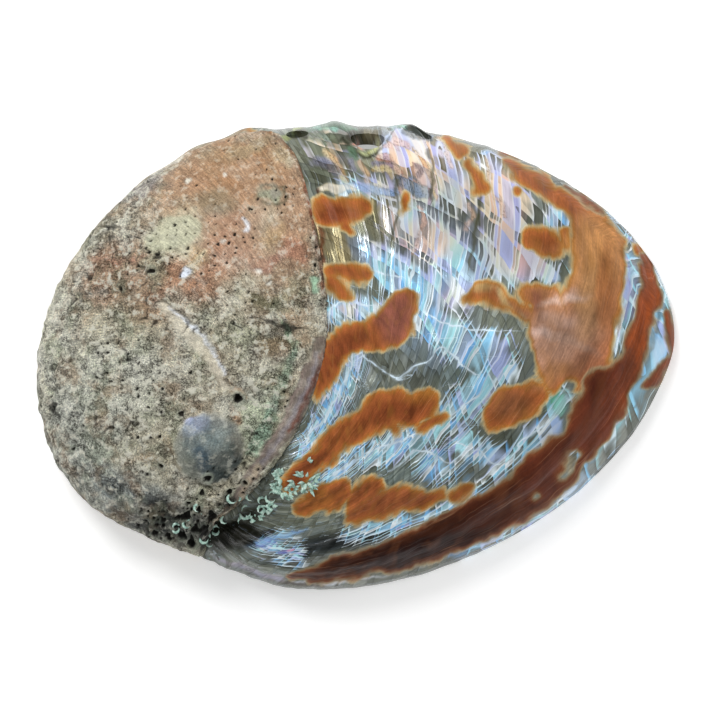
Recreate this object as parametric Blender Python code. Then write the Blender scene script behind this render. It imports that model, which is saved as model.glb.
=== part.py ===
"""Abalone shell: one ear-shaped shell about 175 mm long, lying dome up on its margin.

Seen from above, +X points to the front, where the shell grew last, and +Y to the row of breathing holes.
The apex lies low at the back left. The wall is one closed skin: a grid squeezed into a disc makes the
outside, rings carry it round the margin and the columellar shelf, and a coarser grid closes the inside.
Lengths below are millimetres, and angles are degrees.
"""
import math

import bmesh
import bpy
import numpy as np

MM = 0.001

# Driving sizes. The plan is 175 by 128 mm over all; the height is the bare dome's at its summit.
HEIGHT = 46.0
SUMMIT = (-13.9, 4.2)
APEX = (-41.1, -23.0)
WALL_AT_SUMMIT = 4.6
MARGIN_LAND = 1.6
MARGIN_LIP = 1.1
SHELF_THICKNESS = 2.6
SHELF_ROOT = 5.6
TUCK_HEIGHT = 12.0

# Values round the summit as (degrees, value); 0 is the front, 90 the side of the holes.
OUTLINE = [
    (0, 100.8), (10, 98.4), (20, 92.0), (35, 80.5), (50, 71.0), (65, 64.0), (80, 59.5), (95, 58.3),
    (110, 59.5), (130, 61.5), (150, 65.0), (170, 70.2), (190, 74.7), (205, 76.0), (215, 75.0), (230, 69.6),
    (245, 66.3), (265, 68.1), (285, 69.8), (305, 73.7), (320, 79.5), (335, 87.5), (350, 96.3),
]
BULGE = [
    (0, 1.35), (30, 1.5), (60, 2.2), (90, 2.6), (130, 2.4), (180, 2.2), (225, 2.3), (260, 2.0),
    (300, 1.6), (330, 1.4),
]
TUCK = [(0, 0.0), (60, 0.6), (100, 1.2), (140, 2.0), (200, 3.0), (240, 2.4), (280, 0.8), (320, 0.0)]
MARGIN_LIFT = [
    (0, 0.0), (18, 0.0), (40, 0.9), (70, 1.7), (100, 1.4), (130, 0.0), (205, 0.0), (232, 1.0), (258, 0.0),
    (300, 0.0), (328, 0.9), (350, 0.0),
]
WALL_AT_MARGIN = [
    (0, 6.6), (30, 5.6), (60, 4.4), (90, 4.0), (180, 4.2), (225, 4.8), (270, 4.8), (300, 5.6), (330, 6.4),
]
SHELF = [
    (0, 3.6), (60, 3.2), (150, 3.6), (175, 5.0), (200, 9.5), (225, 13.5), (250, 13.0), (280, 9.0),
    (305, 5.2), (330, 3.8),
]
SHELF_RISE = 0.12
PLAN_ROUNDNESS = 2.15

# The whorl widens by a constant rate as it winds clockwise round the apex.
WIDENING = 0.175
SUTURE_END_ANGLE = -100.0
SUTURE_END_RADIUS = 24.5
LIP_BLEND_ANGLE = -78.0
WHORL_BULGE = 0.085
WHORL_ROUNDNESS = 0.7
WHORLS_FADE = (60, 150)
SPIRE_CAP_RADIUS = 10.5
SPIRE_CAP_HEIGHT = 3.2

# Former lip: behind it lies the old rough crust, in front of it the bare nacre of the last whorl.
OLD_LIP = [
    (-27.0, 62.6), (-17.2, 55.8), (-12.2, 41.0), (-8.9, 23.3), (-7.9, 6.9), (-10.3, -6.7), (-15.2, -18.9),
    (-22.0, -29.8), (-30.2, -39.3), (-35.6, -47.5), (-41.1, -54.5), (-44.0, -60.0),
]
CRUST_EDGE = 0.7
CRUST_THICKNESS = (0.9, 2.0)
CLEFT_DEPTH = 6.0
CLEFT_START = 0.50
CLEFT_END = 0.84
CLEFT_WALL = 2.6
CLEFT_REACH = 9.5

# Breathing holes as (x, y, radius): the three open ones, whose pegs lean towards the margin and flare
# outwards. Each has a raised collar behind it, as (x, y, length, height). The older ones are healed bumps.
HOLES = [(-16.0, 60.0, 3.0), (3.2, 58.2, 4.4), (17.2, 60.0, 3.6)]
HOLE_TILT = 58.0
HOLE_LENGTH = 22.0
HOLE_TAPER = 0.45
COLLARS = [(-23.5, 58.5, 4.0, 1.2), (-6.2, 60.5, 5.6, 1.7), (12.6, 60.0, 4.6, 2.0), (-30.0, 60.5, 4.5, 1.4)]
CLOSED_HOLES = [(-43.0, 55.0), (-55.0, 45.0), (-66.5, 33.0), (-76.0, 17.0)]
CLOSED_HOLE_SIZE = (5.5, 1.0)

# Holes that boring animals left in the crust beside the cleft, as (x, y, radius).
BORINGS = [
    (-31.9, -11.6, 1.5), (-34.5, -37.5, 1.4), (-40.8, -45.2, 1.5), (-45.6, -47.8, 1.3), (-49.6, -44.0, 1.4),
    (-53.0, -48.6, 1.3), (-37.5, -42.5, 1.6), (-44.0, -40.5, 1.2), (-57.5, -44.5, 1.2), (-48.0, -51.0, 1.3),
]
BORING_DEPTH = 2.2

# Fine relief: ripples of growth that waver and swell on the nacre, and lumps on the crust.
RIPPLE_HEIGHT = 0.42
RIPPLES_PER_DEGREE = 0.135
RIPPLE_WAVER = 30.0
SWELL_SIZE = 14.0
CRUST_LUMP_HEIGHT = 0.9
CRUST_LUMP_SIZE = 9.0

# Ridge of encrusting growth on the nacre beside the cleft, between two shares of the way down the old lip.
RIDGE_FROM = 0.60
RIDGE_TO = 0.84
RIDGE_AWAY = 5.5
RIDGE_WIDTH = 3.6
RIDGE_HEIGHT = 1.7
RIDGE_LUMP_SIZE = 7.0

# Shares of the way down the flank between which each relief dies away, so that the margin stays plain.
OUTER_FADE = (0.84, 1.0)
DETAIL_FADE = (0.97, 1.0)
INNER_FADE = (0.80, 1.0)

# Mesh: an even number of cells across the outside, half as many inside, drawn a little towards the summit.
CELLS = 50
SPREAD = 0.94


def round_summit(knots, degrees):
    """Smooth value at each angle: a cubic through the knots that closes on itself."""
    angle, value = np.array(knots, float).T
    angle = np.concatenate([angle - 360, angle, angle + 360])
    value = np.tile(value, 3)
    slope = np.gradient(value, angle)
    at = np.mod(degrees, 360.0)
    i = np.searchsorted(angle, at, side="right") - 1
    gap = angle[i + 1] - angle[i]
    t = (at - angle[i]) / gap
    ends = value[i] * (1 + 2 * t) * (1 - t) ** 2 + value[i + 1] * t * t * (3 - 2 * t)
    return ends + gap * (slope[i] * t * (1 - t) ** 2 - slope[i + 1] * t * t * (1 - t))


def smooth_step(low, high, x):
    t = np.clip((x - low) / (high - low), 0.0, 1.0)
    return t * t * (3 - 2 * t)


def curve_through(points, per_span=12):
    """Dense points on the Catmull-Rom curve through the given plan points."""
    p = np.array(points, float)
    p = np.vstack([2 * p[0] - p[1], p, 2 * p[-1] - p[-2]])
    t = np.linspace(0, 1, per_span, endpoint=False)[:, None]
    spans = [
        0.5 * (2 * b + (c - a) * t + (2 * a - 5 * b + 4 * c - d) * t**2 + (3 * b - a - 3 * c + d) * t**3)
        for a, b, c, d in zip(p[:-3], p[1:-2], p[2:-1], p[3:])
    ]
    return np.vstack(spans + [p[-2:-1]])


def beside(line, x, y):
    """Signed distance of each point from a line, positive on its left, and the share of the way along it."""
    start, step = line[:-1], np.diff(line, axis=0)
    rel_x, rel_y = x[..., None] - start[:, 0], y[..., None] - start[:, 1]
    t = np.clip((rel_x * step[:, 0] + rel_y * step[:, 1]) / (step**2).sum(1), 0, 1)
    away = np.hypot(rel_x - t * step[:, 0], rel_y - t * step[:, 1])
    nearest = away.argmin(-1)[..., None]
    side = np.sign(step[:, 0] * rel_y - step[:, 1] * rel_x)
    share = (nearest[..., 0] + np.take_along_axis(t, nearest, -1)[..., 0]) / len(step)
    return (np.take_along_axis(side * away, nearest, -1))[..., 0], share


def polar_about_apex(x, y):
    """Distance from the apex, and the angle in degrees from the end of the suture."""
    angle = np.degrees(np.arctan2(y - APEX[1], x - APEX[0]))
    return np.hypot(x - APEX[0], y - APEX[1]), np.mod(angle - SUTURE_END_ANGLE, 360) + SUTURE_END_ANGLE


def lip_table():
    """The lip as the log of its distance from the apex against its angle there."""
    degrees = np.arange(0, 360, 1.0)
    reach = round_summit(OUTLINE, degrees)
    x = SUMMIT[0] + reach * np.cos(np.radians(degrees))
    y = SUMMIT[1] + reach * np.sin(np.radians(degrees))
    distance, angle = polar_about_apex(x, y)
    joined = smooth_step(SUTURE_END_ANGLE, LIP_BLEND_ANGLE, angle)
    distance = SUTURE_END_RADIUS + (distance - SUTURE_END_RADIUS) * joined
    order = np.argsort(angle)
    return angle[order], np.log(distance[order])


def growth(x, y):
    """How far back round the apex, in degrees, the lip stood when it passed each point."""
    lip_angle, lip_log = lip_table()
    distance, angle = polar_about_apex(x, y)
    back = np.arange(0.0, 361.0, 4.0)
    lip_then = np.interp(angle[..., None] - back, lip_angle, lip_log) - WIDENING * np.radians(back)
    beyond = lip_then - np.log(np.maximum(distance, 0.5))[..., None]
    last = np.clip(np.argmax(beyond < 0, -1), 1, None)[..., None]
    before = np.take_along_axis(beyond, last - 1, -1)[..., 0]
    after = np.take_along_axis(beyond, last, -1)[..., 0]
    part_way = np.clip(before / np.maximum(before - after, 1e-6), 0.0, 1.0)
    return np.minimum(back[last[..., 0] - 1] + part_way * (back[1] - back[0]), angle - SUTURE_END_ANGLE)


def whorls(x, y):
    """Lift of the spire: coils that bulge between the turns of the suture, and the round cap on the apex."""
    distance, angle = polar_about_apex(x, y)
    distance = np.maximum(distance, 0.4)
    wound = np.log(SUTURE_END_RADIUS / distance) / WIDENING
    turn = (wound - np.radians(angle - SUTURE_END_ANGLE)) / (2 * np.pi)
    coil = np.abs(np.sin(np.pi * turn)) ** WHORL_ROUNDNESS * distance * WHORL_BULGE
    fade = smooth_step(-0.05, 0.12, turn) * (1 - 0.6 * smooth_step(*WHORLS_FADE, angle))
    cap = SPIRE_CAP_HEIGHT * np.clip(1 - (distance / SPIRE_CAP_RADIUS) ** 2, 0, 1) ** 0.8
    return coil * fade + cap


def crust_side(x, y):
    """1 on the rough crust behind the old lip, 0 on the bare nacre."""
    side, share = beside(curve_through(OLD_LIP), x, y)
    return smooth_step(CRUST_EDGE, -CRUST_EDGE, side), side, share


def crust_and_cleft(x, y, inner):
    """Lift of the crust behind the old lip, less the cleft where the last whorl meets the spire.

    The cleft falls steeply at the old lip and rises slowly in front of it. Inside the shell both are softer.
    """
    on_crust, side, share = crust_side(x, y)
    thin, thick = CRUST_THICKNESS
    thickness = thin + (thick - thin) * smooth_step(0.3, 0.9, share)
    depth = CLEFT_DEPTH * smooth_step(CLEFT_START, CLEFT_END, share)
    wall = CLEFT_WALL * (2.5 if inner else 1.0)
    floor = np.where(side < 0, smooth_step(-wall, 0.0, side), np.exp(-np.maximum(side, 0.0) / CLEFT_REACH))
    return (0.0 if inner else thickness * on_crust) - depth * floor


def lumps(x, y, size):
    """Gentle irregular lumps from -1 to 1: crossing waves whose directions and lengths never line up."""
    total = np.zeros_like(x)
    for k, turn in enumerate((0.3, 1.27, 2.2, 2.9, 3.8)):
        wave = 2 * np.pi / (size * (0.75 + 0.17 * k))
        along = x * math.cos(turn) + y * math.sin(turn)
        across = y * math.cos(turn) - x * math.sin(turn)
        total += np.sin(along * wave + 1.6 * np.sin(across * wave * 0.63 + k))
    return total / 5


def surface_detail(x, y):
    """Lift along the normal: growth ripples, crust lumps, the ridge, hole collars and healed holes."""
    on_crust, side, share = crust_side(x, y)
    ripple = np.sin(2 * np.pi * RIPPLES_PER_DEGREE * growth(x, y) + 1.4 * lumps(x, y, RIPPLE_WAVER))
    lift = (1 - on_crust) * RIPPLE_HEIGHT * (ripple + 0.9 * lumps(x, y, SWELL_SIZE))
    lift += on_crust * CRUST_LUMP_HEIGHT * lumps(x, y, CRUST_LUMP_SIZE)
    along = smooth_step(RIDGE_FROM - 0.06, RIDGE_FROM, share) * smooth_step(RIDGE_TO + 0.06, RIDGE_TO, share)
    ridge = np.exp(-(((side - RIDGE_AWAY) / RIDGE_WIDTH) ** 2))
    lift += RIDGE_HEIGHT * along * ridge * (1 + 0.6 * lumps(x, y, RIDGE_LUMP_SIZE))
    for cx, cy, size, height in COLLARS:
        lift += height * np.exp(-(((x - cx) / size) ** 2 + ((y - cy) / (0.7 * size)) ** 2))
    for cx, cy in CLOSED_HOLES:
        lift += CLOSED_HOLE_SIZE[1] * np.exp(-((x - cx) ** 2 + (y - cy) ** 2) / CLOSED_HOLE_SIZE[0] ** 2)
    return lift


def disc_grid(cells):
    """A square grid squeezed into a disc: the share of the way out and the angle of each corner."""
    line = np.linspace(-1, 1, cells + 1)
    a, b = np.meshgrid(line, line)
    share = np.maximum(np.abs(a), np.abs(b))
    wide = np.abs(a) >= np.abs(b)
    long_side = np.where(wide, a, b)
    slant = 45 * np.where(wide, b, -a) / np.where(long_side == 0, 1, long_side)
    return share, slant + np.where(wide, 0, 90) + np.where(long_side < 0, 180, 0)


def grid_rim(cells):
    """Indices of a grid's rim, once round from its first corner."""
    index = np.arange((cells + 1) ** 2).reshape(cells + 1, cells + 1)
    return np.concatenate([index[0, :-1], index[:-1, -1], index[-1, :0:-1], index[:0:-1, 0]])


def dome(steps, angles, wall, top, foot):
    """Points of a dome that ends wall short of the outline: at each angle a superellipse from the summit."""
    turn = np.radians(90.0) * steps
    reach = round_summit(OUTLINE, angles) - wall
    out = np.sin(turn) ** (2 / PLAN_ROUNDNESS) * reach
    z = foot + (top - foot) * np.maximum(np.cos(turn), 0.0) ** (2 / round_summit(BULGE, angles))
    out = out - round_summit(TUCK, angles) * np.clip(1 - z / TUCK_HEIGHT, 0, 1) ** 2 * steps**4
    radians = np.radians(angles)
    return np.stack([SUMMIT[0] + out * np.cos(radians), SUMMIT[1] + out * np.sin(radians), z], -1)


def margin_lift(angles):
    """Height of the margin over the ground; it touches at the front, the back and the shelf's side."""
    return np.maximum(round_summit(MARGIN_LIFT, angles), 0.0)


def outer_skin():
    """The outside: the dome, with spire, crust and cleft as heights and the fine relief along the normal."""
    share, angles = disc_grid(CELLS)
    steps = share**SPREAD
    points = dome(steps, angles, 0.0, HEIGHT, margin_lift(angles) + MARGIN_LIP)
    normal = np.cross(np.gradient(points, axis=1), np.gradient(points, axis=0))
    normal /= np.linalg.norm(normal, axis=-1, keepdims=True)
    x, y = points[..., 0], points[..., 1]
    points[..., 2] += (whorls(x, y) + crust_and_cleft(x, y, False)) * (1 - smooth_step(*OUTER_FADE, steps))
    return points + normal * (surface_detail(x, y) * (1 - smooth_step(*DETAIL_FADE, steps)))[..., None]


def margin_and_shelf(angles, foot):
    """Rings from the foot inwards: the margin's flat land, then round the edge of the columellar shelf."""
    lift = margin_lift(angles)
    width = round_summit(SHELF, angles)
    wall = round_summit(WALL_AT_MARGIN, angles)
    rise = SHELF_RISE * (width - width.min())
    land = 0.5 * MARGIN_LIP
    steps_in = [
        (land, 0.0),
        (land + MARGIN_LAND, 0.0),
        (width - 0.6, rise + 0.5),
        (width, rise + 0.5 + 0.4 * SHELF_THICKNESS),
        (width - 0.8, rise + 0.3 + SHELF_THICKNESS),
        (wall + 0.45 * np.maximum(width - wall, 0.0), 0.6 * rise + 1.6 + SHELF_THICKNESS),
    ]
    towards = -np.stack([np.cos(np.radians(angles)), np.sin(np.radians(angles))], -1)
    rings = []
    for inwards, above in steps_in:
        ring = foot.copy()
        ring[:, :2] += towards * np.broadcast_to(inwards, angles.shape)[:, None]
        ring[:, 2] = lift + above
        rings.append(ring)
    return rings


def inner_skin():
    """The inside, from above the shelf to the summit: a smaller dome that follows the spire and cleft."""
    share, angles = disc_grid(CELLS // 2)
    steps = share**SPREAD
    wall = round_summit(WALL_AT_MARGIN, angles)
    points = dome(steps, angles, wall, HEIGHT - WALL_AT_SUMMIT, margin_lift(angles) + SHELF_ROOT)
    x, y = points[..., 0], points[..., 1]
    relief = 0.9 * whorls(x, y) + crust_and_cleft(x, y, True)
    points[..., 2] += relief * (1 - smooth_step(*INNER_FADE, steps))
    return points


def grid_faces(cells, first):
    """Triangles of a grid, each cell split along the diagonal that points to the middle."""
    corner = np.arange((cells + 1) ** 2).reshape(cells + 1, cells + 1) + first
    near, right, far, left = corner[:-1, :-1], corner[:-1, 1:], corner[1:, 1:], corner[1:, :-1]
    middle = np.arange(cells) + 0.5 - cells / 2
    rising = np.outer(middle, middle) >= 0
    one = np.where(rising[..., None], np.stack([near, right, far], -1), np.stack([near, right, left], -1))
    two = np.where(rising[..., None], np.stack([near, far, left], -1), np.stack([right, far, left], -1))
    return np.concatenate([one.reshape(-1, 3), two.reshape(-1, 3)]).tolist()


def ring_faces(ring, following):
    pairs = zip(ring, np.roll(ring, -1), np.roll(following, -1), following)
    return [[int(i) for i in quad] for quad in pairs]


def halving_faces(fine, coarse):
    """Triangles that join a ring to one with half as many points."""
    faces = []
    for i, here in enumerate(coarse):
        there = coarse[(i + 1) % len(coarse)]
        before, middle, after = fine[2 * i], fine[2 * i + 1], fine[(2 * i + 2) % len(fine)]
        faces += [[before, middle, here], [middle, there, here], [middle, after, there]]
    return [[int(i) for i in face] for face in faces]


def build_shell(material):
    """The shell's wall as one closed skin: outside, margin and shelf, and inside."""
    outer, inner = outer_skin().reshape(-1, 3), inner_skin().reshape(-1, 3)
    rim = grid_rim(CELLS)
    _, angles = disc_grid(CELLS)
    rings = margin_and_shelf(angles.reshape(-1)[rim], outer[rim])
    points, faces, last = [outer, *rings, inner], grid_faces(CELLS, 0), rim
    for number in range(len(rings)):
        ring = np.arange(len(rim)) + len(outer) + number * len(rim)
        faces += ring_faces(last, ring)
        last = ring
    first_inner = len(outer) + len(rings) * len(rim)
    faces += halving_faces(last, grid_rim(CELLS // 2) + first_inner) + grid_faces(CELLS // 2, first_inner)
    mesh = bpy.data.meshes.new("shell")
    mesh.from_pydata((np.vstack(points) * MM).tolist(), [], faces)
    form = bmesh.new()
    form.from_mesh(mesh)
    bmesh.ops.recalc_face_normals(form, faces=form.faces)
    form.to_mesh(mesh)
    form.free()
    mesh.shade_smooth()
    mesh.materials.append(material)
    return bpy.data.objects.new("shell", mesh)


def shell_material():
    """Bare nacre stained rust brown: the mean of the polished whorl and the crust."""
    material = bpy.data.materials.new("nacre_and_crust")
    material.use_nodes = True
    shader = material.node_tree.nodes["Principled BSDF"]
    shader.inputs["Base Color"].default_value = (0.36, 0.27, 0.19, 1.0)
    shader.inputs["Roughness"].default_value = 0.35
    shader.inputs["Metallic"].default_value = 0.0
    return material


def height_over(x, y):
    """Height of the bare dome over a plan point, for setting cutters on it."""
    angle = np.degrees(math.atan2(y - SUMMIT[1], x - SUMMIT[0]))
    reach = round_summit(OUTLINE, np.array([angle]))[0]
    bulge = round_summit(BULGE, np.array([angle]))[0]
    share = min(math.hypot(x - SUMMIT[0], y - SUMMIT[1]) / reach, 0.999)
    return HEIGHT * (1 - share**PLAN_ROUNDNESS) ** (1 / bulge)


def add_hole_cutter(number, x, y, radius):
    """A peg that flares outwards, as a breathing hole does, tilted towards the margin."""
    bpy.ops.mesh.primitive_cone_add(
        vertices=16,
        radius1=radius * (1 - HOLE_TAPER) * MM,
        radius2=radius * (1 + HOLE_TAPER) * MM,
        depth=HOLE_LENGTH * MM,
    )
    peg = bpy.context.object
    peg.name = f"hole_cutter_{number}"
    peg.rotation_euler = (-math.radians(HOLE_TILT), 0.0, 0.0)
    peg.location = (x * MM, y * MM, height_over(x, y) * MM)
    return peg


def add_boring_cutter(number, x, y, radius):
    """A round-bottomed pit, sunk straight down into the crust."""
    bpy.ops.mesh.primitive_ico_sphere_add(subdivisions=1, radius=radius * MM)
    pit = bpy.context.object
    pit.name = f"boring_cutter_{number}"
    pit.scale = (1.0, 1.0, BORING_DEPTH)
    points = np.array([[x]]), np.array([[y]])
    top = height_over(x, y) + (whorls(*points) + crust_and_cleft(*points, False))[0, 0]
    pit.location = (x * MM, y * MM, top * MM)
    return pit


def cut(shell, cutter, cutters):
    """Takes the cutter's volume out of the shell, and files the cutter away as a helper."""
    for home in list(cutter.users_collection):
        home.objects.unlink(cutter)
    cutters.objects.link(cutter)
    cutter.hide_render = True
    cutter.display_type = "WIRE"
    modifier = shell.modifiers.new(cutter.name, "BOOLEAN")
    modifier.operation = "DIFFERENCE"
    modifier.object = cutter


def main():
    for old in list(bpy.data.objects):
        bpy.data.objects.remove(old)
    parts = bpy.data.collections.new("abalone_shell")
    cutters = bpy.data.collections.new("cutters")
    bpy.context.scene.collection.children.link(parts)
    bpy.context.scene.collection.children.link(cutters)
    shell = build_shell(shell_material())
    parts.objects.link(shell)
    for number, hole in enumerate(HOLES):
        cut(shell, add_hole_cutter(number, *hole), cutters)
    for number, boring in enumerate(BORINGS):
        cut(shell, add_boring_cutter(number, *boring), cutters)


main()
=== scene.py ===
import math

import bmesh
import bpy
import numpy as np
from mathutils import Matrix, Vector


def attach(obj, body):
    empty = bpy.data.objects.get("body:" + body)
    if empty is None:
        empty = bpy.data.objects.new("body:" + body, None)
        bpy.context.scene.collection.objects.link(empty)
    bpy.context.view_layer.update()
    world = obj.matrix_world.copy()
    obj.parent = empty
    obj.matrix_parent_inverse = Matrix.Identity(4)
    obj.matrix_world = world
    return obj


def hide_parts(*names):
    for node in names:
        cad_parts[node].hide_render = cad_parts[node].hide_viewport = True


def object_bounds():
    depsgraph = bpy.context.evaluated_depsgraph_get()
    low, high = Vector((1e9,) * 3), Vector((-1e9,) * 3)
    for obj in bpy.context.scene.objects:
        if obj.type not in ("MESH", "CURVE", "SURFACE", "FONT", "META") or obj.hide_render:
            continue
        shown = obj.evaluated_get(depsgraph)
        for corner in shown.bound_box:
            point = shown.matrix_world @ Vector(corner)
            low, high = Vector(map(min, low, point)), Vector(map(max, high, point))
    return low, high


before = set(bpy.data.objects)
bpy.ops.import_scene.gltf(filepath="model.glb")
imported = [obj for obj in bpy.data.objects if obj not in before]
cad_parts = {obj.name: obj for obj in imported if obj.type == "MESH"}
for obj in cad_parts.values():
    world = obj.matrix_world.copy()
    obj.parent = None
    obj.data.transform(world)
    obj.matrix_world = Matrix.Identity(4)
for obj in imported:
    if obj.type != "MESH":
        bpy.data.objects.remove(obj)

cad_low, cad_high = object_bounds()

# The wall of the shell.
# The real wall is one growth of calcium carbonate: pearly nacre, which people polished bare on the last
# whorl, stained by the rust-red outer layer where the polishing left it. Sizes are millimetres, angles are
# degrees; +X is the growing lip, +Y the row of breathing holes, and angles turn about the summit.
MM = 0.001
HEIGHT = 46.0
SUMMIT = (-13.9, 4.2)
APEX = (-41.1, -23.0)
WALL_AT_SUMMIT = 4.6
MARGIN_LAND = 1.6
MARGIN_LIP = 1.1
SHELF_THICKNESS = 2.6
SHELF_ROOT = 5.6
SHELF_RISE = 0.12
TUCK_HEIGHT = 12.0
PLAN_ROUNDNESS = 2.15
PLAN_ALLOWANCE = 0.35

OUTLINE = [
    (0, 100.8), (10, 98.4), (20, 92.0), (35, 80.5), (50, 71.0), (65, 64.0), (80, 59.5), (95, 58.3),
    (110, 59.5), (130, 61.5), (150, 65.0), (170, 70.2), (190, 74.7), (205, 76.0), (215, 75.0), (230, 69.6),
    (245, 66.3), (265, 68.1), (285, 69.8), (305, 73.7), (320, 79.5), (335, 87.5), (350, 96.3),
]
BULGE = [
    (0, 1.35), (30, 1.5), (60, 2.2), (90, 2.6), (130, 2.4), (180, 2.2), (225, 2.3), (260, 2.0), (300, 1.6),
    (330, 1.4),
]
TUCK = [(0, 0.0), (60, 0.6), (100, 1.2), (140, 2.0), (200, 3.0), (240, 2.4), (280, 0.8), (320, 0.0)]
MARGIN_LIFT = [
    (0, 0.0), (18, 0.0), (40, 0.9), (70, 1.7), (100, 1.4), (130, 0.0), (205, 0.0), (232, 1.0), (258, 0.0),
    (300, 0.0), (328, 0.9), (350, 0.0),
]
WALL_AT_MARGIN = [
    (0, 6.6), (30, 5.6), (60, 4.4), (90, 4.0), (180, 4.2), (225, 4.8), (270, 4.8), (300, 5.6), (330, 6.4),
]
SHELF = [
    (0, 3.6), (60, 3.2), (150, 3.6), (175, 5.0), (200, 9.5), (225, 13.5), (250, 13.0), (280, 9.0), (305, 5.2),
    (330, 3.8),
]

# The whorl widens at a constant rate as it winds clockwise round the apex.
WIDENING = 0.175
SUTURE_END_ANGLE = -100.0
SUTURE_END_RADIUS = 24.5
LIP_BLEND_ANGLE = -78.0
WHORL_BULGE = 0.085
WHORL_ROUNDNESS = 0.7
WHORLS_FADE = (60, 150)
SPIRE_CAP_RADIUS = 10.5
SPIRE_CAP_HEIGHT = 3.2

# Former lip: behind it lies the old rough crust, in front of it the bare nacre.
OLD_LIP = [
    (-27.0, 62.6), (-17.2, 55.8), (-12.2, 41.0), (-8.9, 23.3), (-7.9, 6.9), (-10.3, -6.7), (-15.2, -18.9),
    (-22.0, -29.8), (-30.2, -39.3), (-35.4, -43.6), (-39.3, -48.2), (-41.2, -54.2), (-42.6, -60.6),
]
CRUST_THICKNESS = (0.9, 2.0)
CLEFT_DEPTH = 6.0
CLEFT_START = 0.50
CLEFT_END = 0.84
CLEFT_WALL = 2.6
CLEFT_REACH = 9.5
SUNK_UNDER_CRUST = 2.4
SUNK_FADE = (0.88, 0.97)

HOLES = [(-16.0, 60.0, 3.0), (3.2, 58.2, 4.4), (17.2, 60.0, 3.6)]
HOLE_TILT = 58.0
HOLE_LENGTH = 22.0
HOLE_TAPER = 0.45
HOLE_SIDES = 40
SHARP_EDGE = 50
COLLARS = [(-23.5, 58.5, 4.0, 1.2), (-6.2, 60.5, 5.6, 1.7), (12.6, 60.0, 4.6, 2.0), (-30.0, 60.5, 4.5, 1.4)]
CLOSED_HOLES = [(-43.0, 55.0), (-55.0, 45.0), (-66.5, 33.0), (-76.0, 17.0)]
CLOSED_HOLE_SIZE = (5.5, 1.0)

RIPPLE_HEIGHT = 0.24
RIPPLES_PER_DEGREE = 0.135
RIPPLE_WAVER = 30.0
SWELL_SIZE = 14.0
RIDGE = (0.60, 0.84, 5.5, 3.6, 1.2)
RIDGE_LUMP_SIZE = 7.0
OUTER_FADE = (0.84, 1.0)
DETAIL_FADE = (0.97, 1.0)
INNER_FADE = (0.80, 1.0)
SPREAD = 0.94
BOX_GAP = 0.00005

# Finer ridges of the nacre: height, stretch by age and along the lip, size in degrees, seed.
FINE_RIDGES = [(0.13, 1, 0.12, 1.5, 1), (0.16, 0.14, 1, 2.6, 2), (0.1, 1, 1, 1.9, 3), (0.05, 1, 0.2, 0.5, 4)]

# Factors that turn the corners of a lattice into random values, and the step between two seeds.
TOSSES = [(127.1, 311.7, 43758.5453), (269.5, 183.3, 28001.8384), (419.2, 371.9, 17231.1331)]
SEED_STEP = 74.7

# Grid of the outside: columns lie closer together on the bare nacre than under the crust.
COLUMNS_UNDER_CRUST = 44
COLUMNS_ON_NACRE = 256
ROWS = 260
FULL_RINGS = 4
CRUST_COLUMNS_END = -0.42


def round_summit(knots, degrees):
    """Smooth value at each angle: a cubic through the knots that closes on itself."""
    angle, value = np.array(knots, float).T
    angle = np.concatenate([angle - 360, angle, angle + 360])
    value = np.tile(value, 3)
    slope = np.gradient(value, angle)
    at = np.mod(degrees, 360.0)
    i = np.searchsorted(angle, at, side="right") - 1
    gap = angle[i + 1] - angle[i]
    t = (at - angle[i]) / gap
    ends = value[i] * (1 + 2 * t) * (1 - t) ** 2 + value[i + 1] * t * t * (3 - 2 * t)
    return ends + gap * (slope[i] * t * (1 - t) ** 2 - slope[i + 1] * t * t * (1 - t))


def smooth_step(low, high, x):
    """0 below low and 1 above high, and 3t^2 - 2t^3 of the share t of the way between."""
    t = np.clip((x - low) / (high - low), 0.0, 1.0)
    return t * t * (3 - 2 * t)


def curve_through(points, per_span=12):
    """Dense points on the Catmull-Rom curve through the given points."""
    p = np.array(points, float)
    p = np.vstack([2 * p[0] - p[1], p, 2 * p[-1] - p[-2]])
    t = np.linspace(0, 1, per_span, endpoint=False)[:, None]
    spans = [
        0.5 * (2 * b + (c - a) * t + (2 * a - 5 * b + 4 * c - d) * t**2 + (3 * b - a - 3 * c + d) * t**3)
        for a, b, c, d in zip(p[:-3], p[1:-2], p[2:-1], p[3:])
    ]
    return np.vstack(spans + [p[-2:-1]])


def beside(line, x, y):
    """Distance of each point from a line, positive on its left, and the share of the way along it."""
    nearest = np.full(x.shape, 1e9)
    side, share = np.zeros(x.shape), np.zeros(x.shape)
    for k, ((ax, ay), (bx, by)) in enumerate(zip(line[:-1], line[1:])):
        dx, dy = bx - ax, by - ay
        t = np.clip(((x - ax) * dx + (y - ay) * dy) / (dx * dx + dy * dy), 0, 1)
        away = np.hypot(x - ax - t * dx, y - ay - t * dy)
        closer = away < nearest
        nearest = np.where(closer, away, nearest)
        side = np.where(closer, np.sign(dx * (y - ay) - dy * (x - ax)), side)
        share = np.where(closer, (k + t) / (len(line) - 1), share)
    return side * nearest, share


def polar_about_apex(x, y):
    """Distance from the apex, and the angle in degrees from the end of the suture."""
    angle = np.degrees(np.arctan2(y - APEX[1], x - APEX[0]))
    return np.hypot(x - APEX[0], y - APEX[1]), np.mod(angle - SUTURE_END_ANGLE, 360) + SUTURE_END_ANGLE


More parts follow.
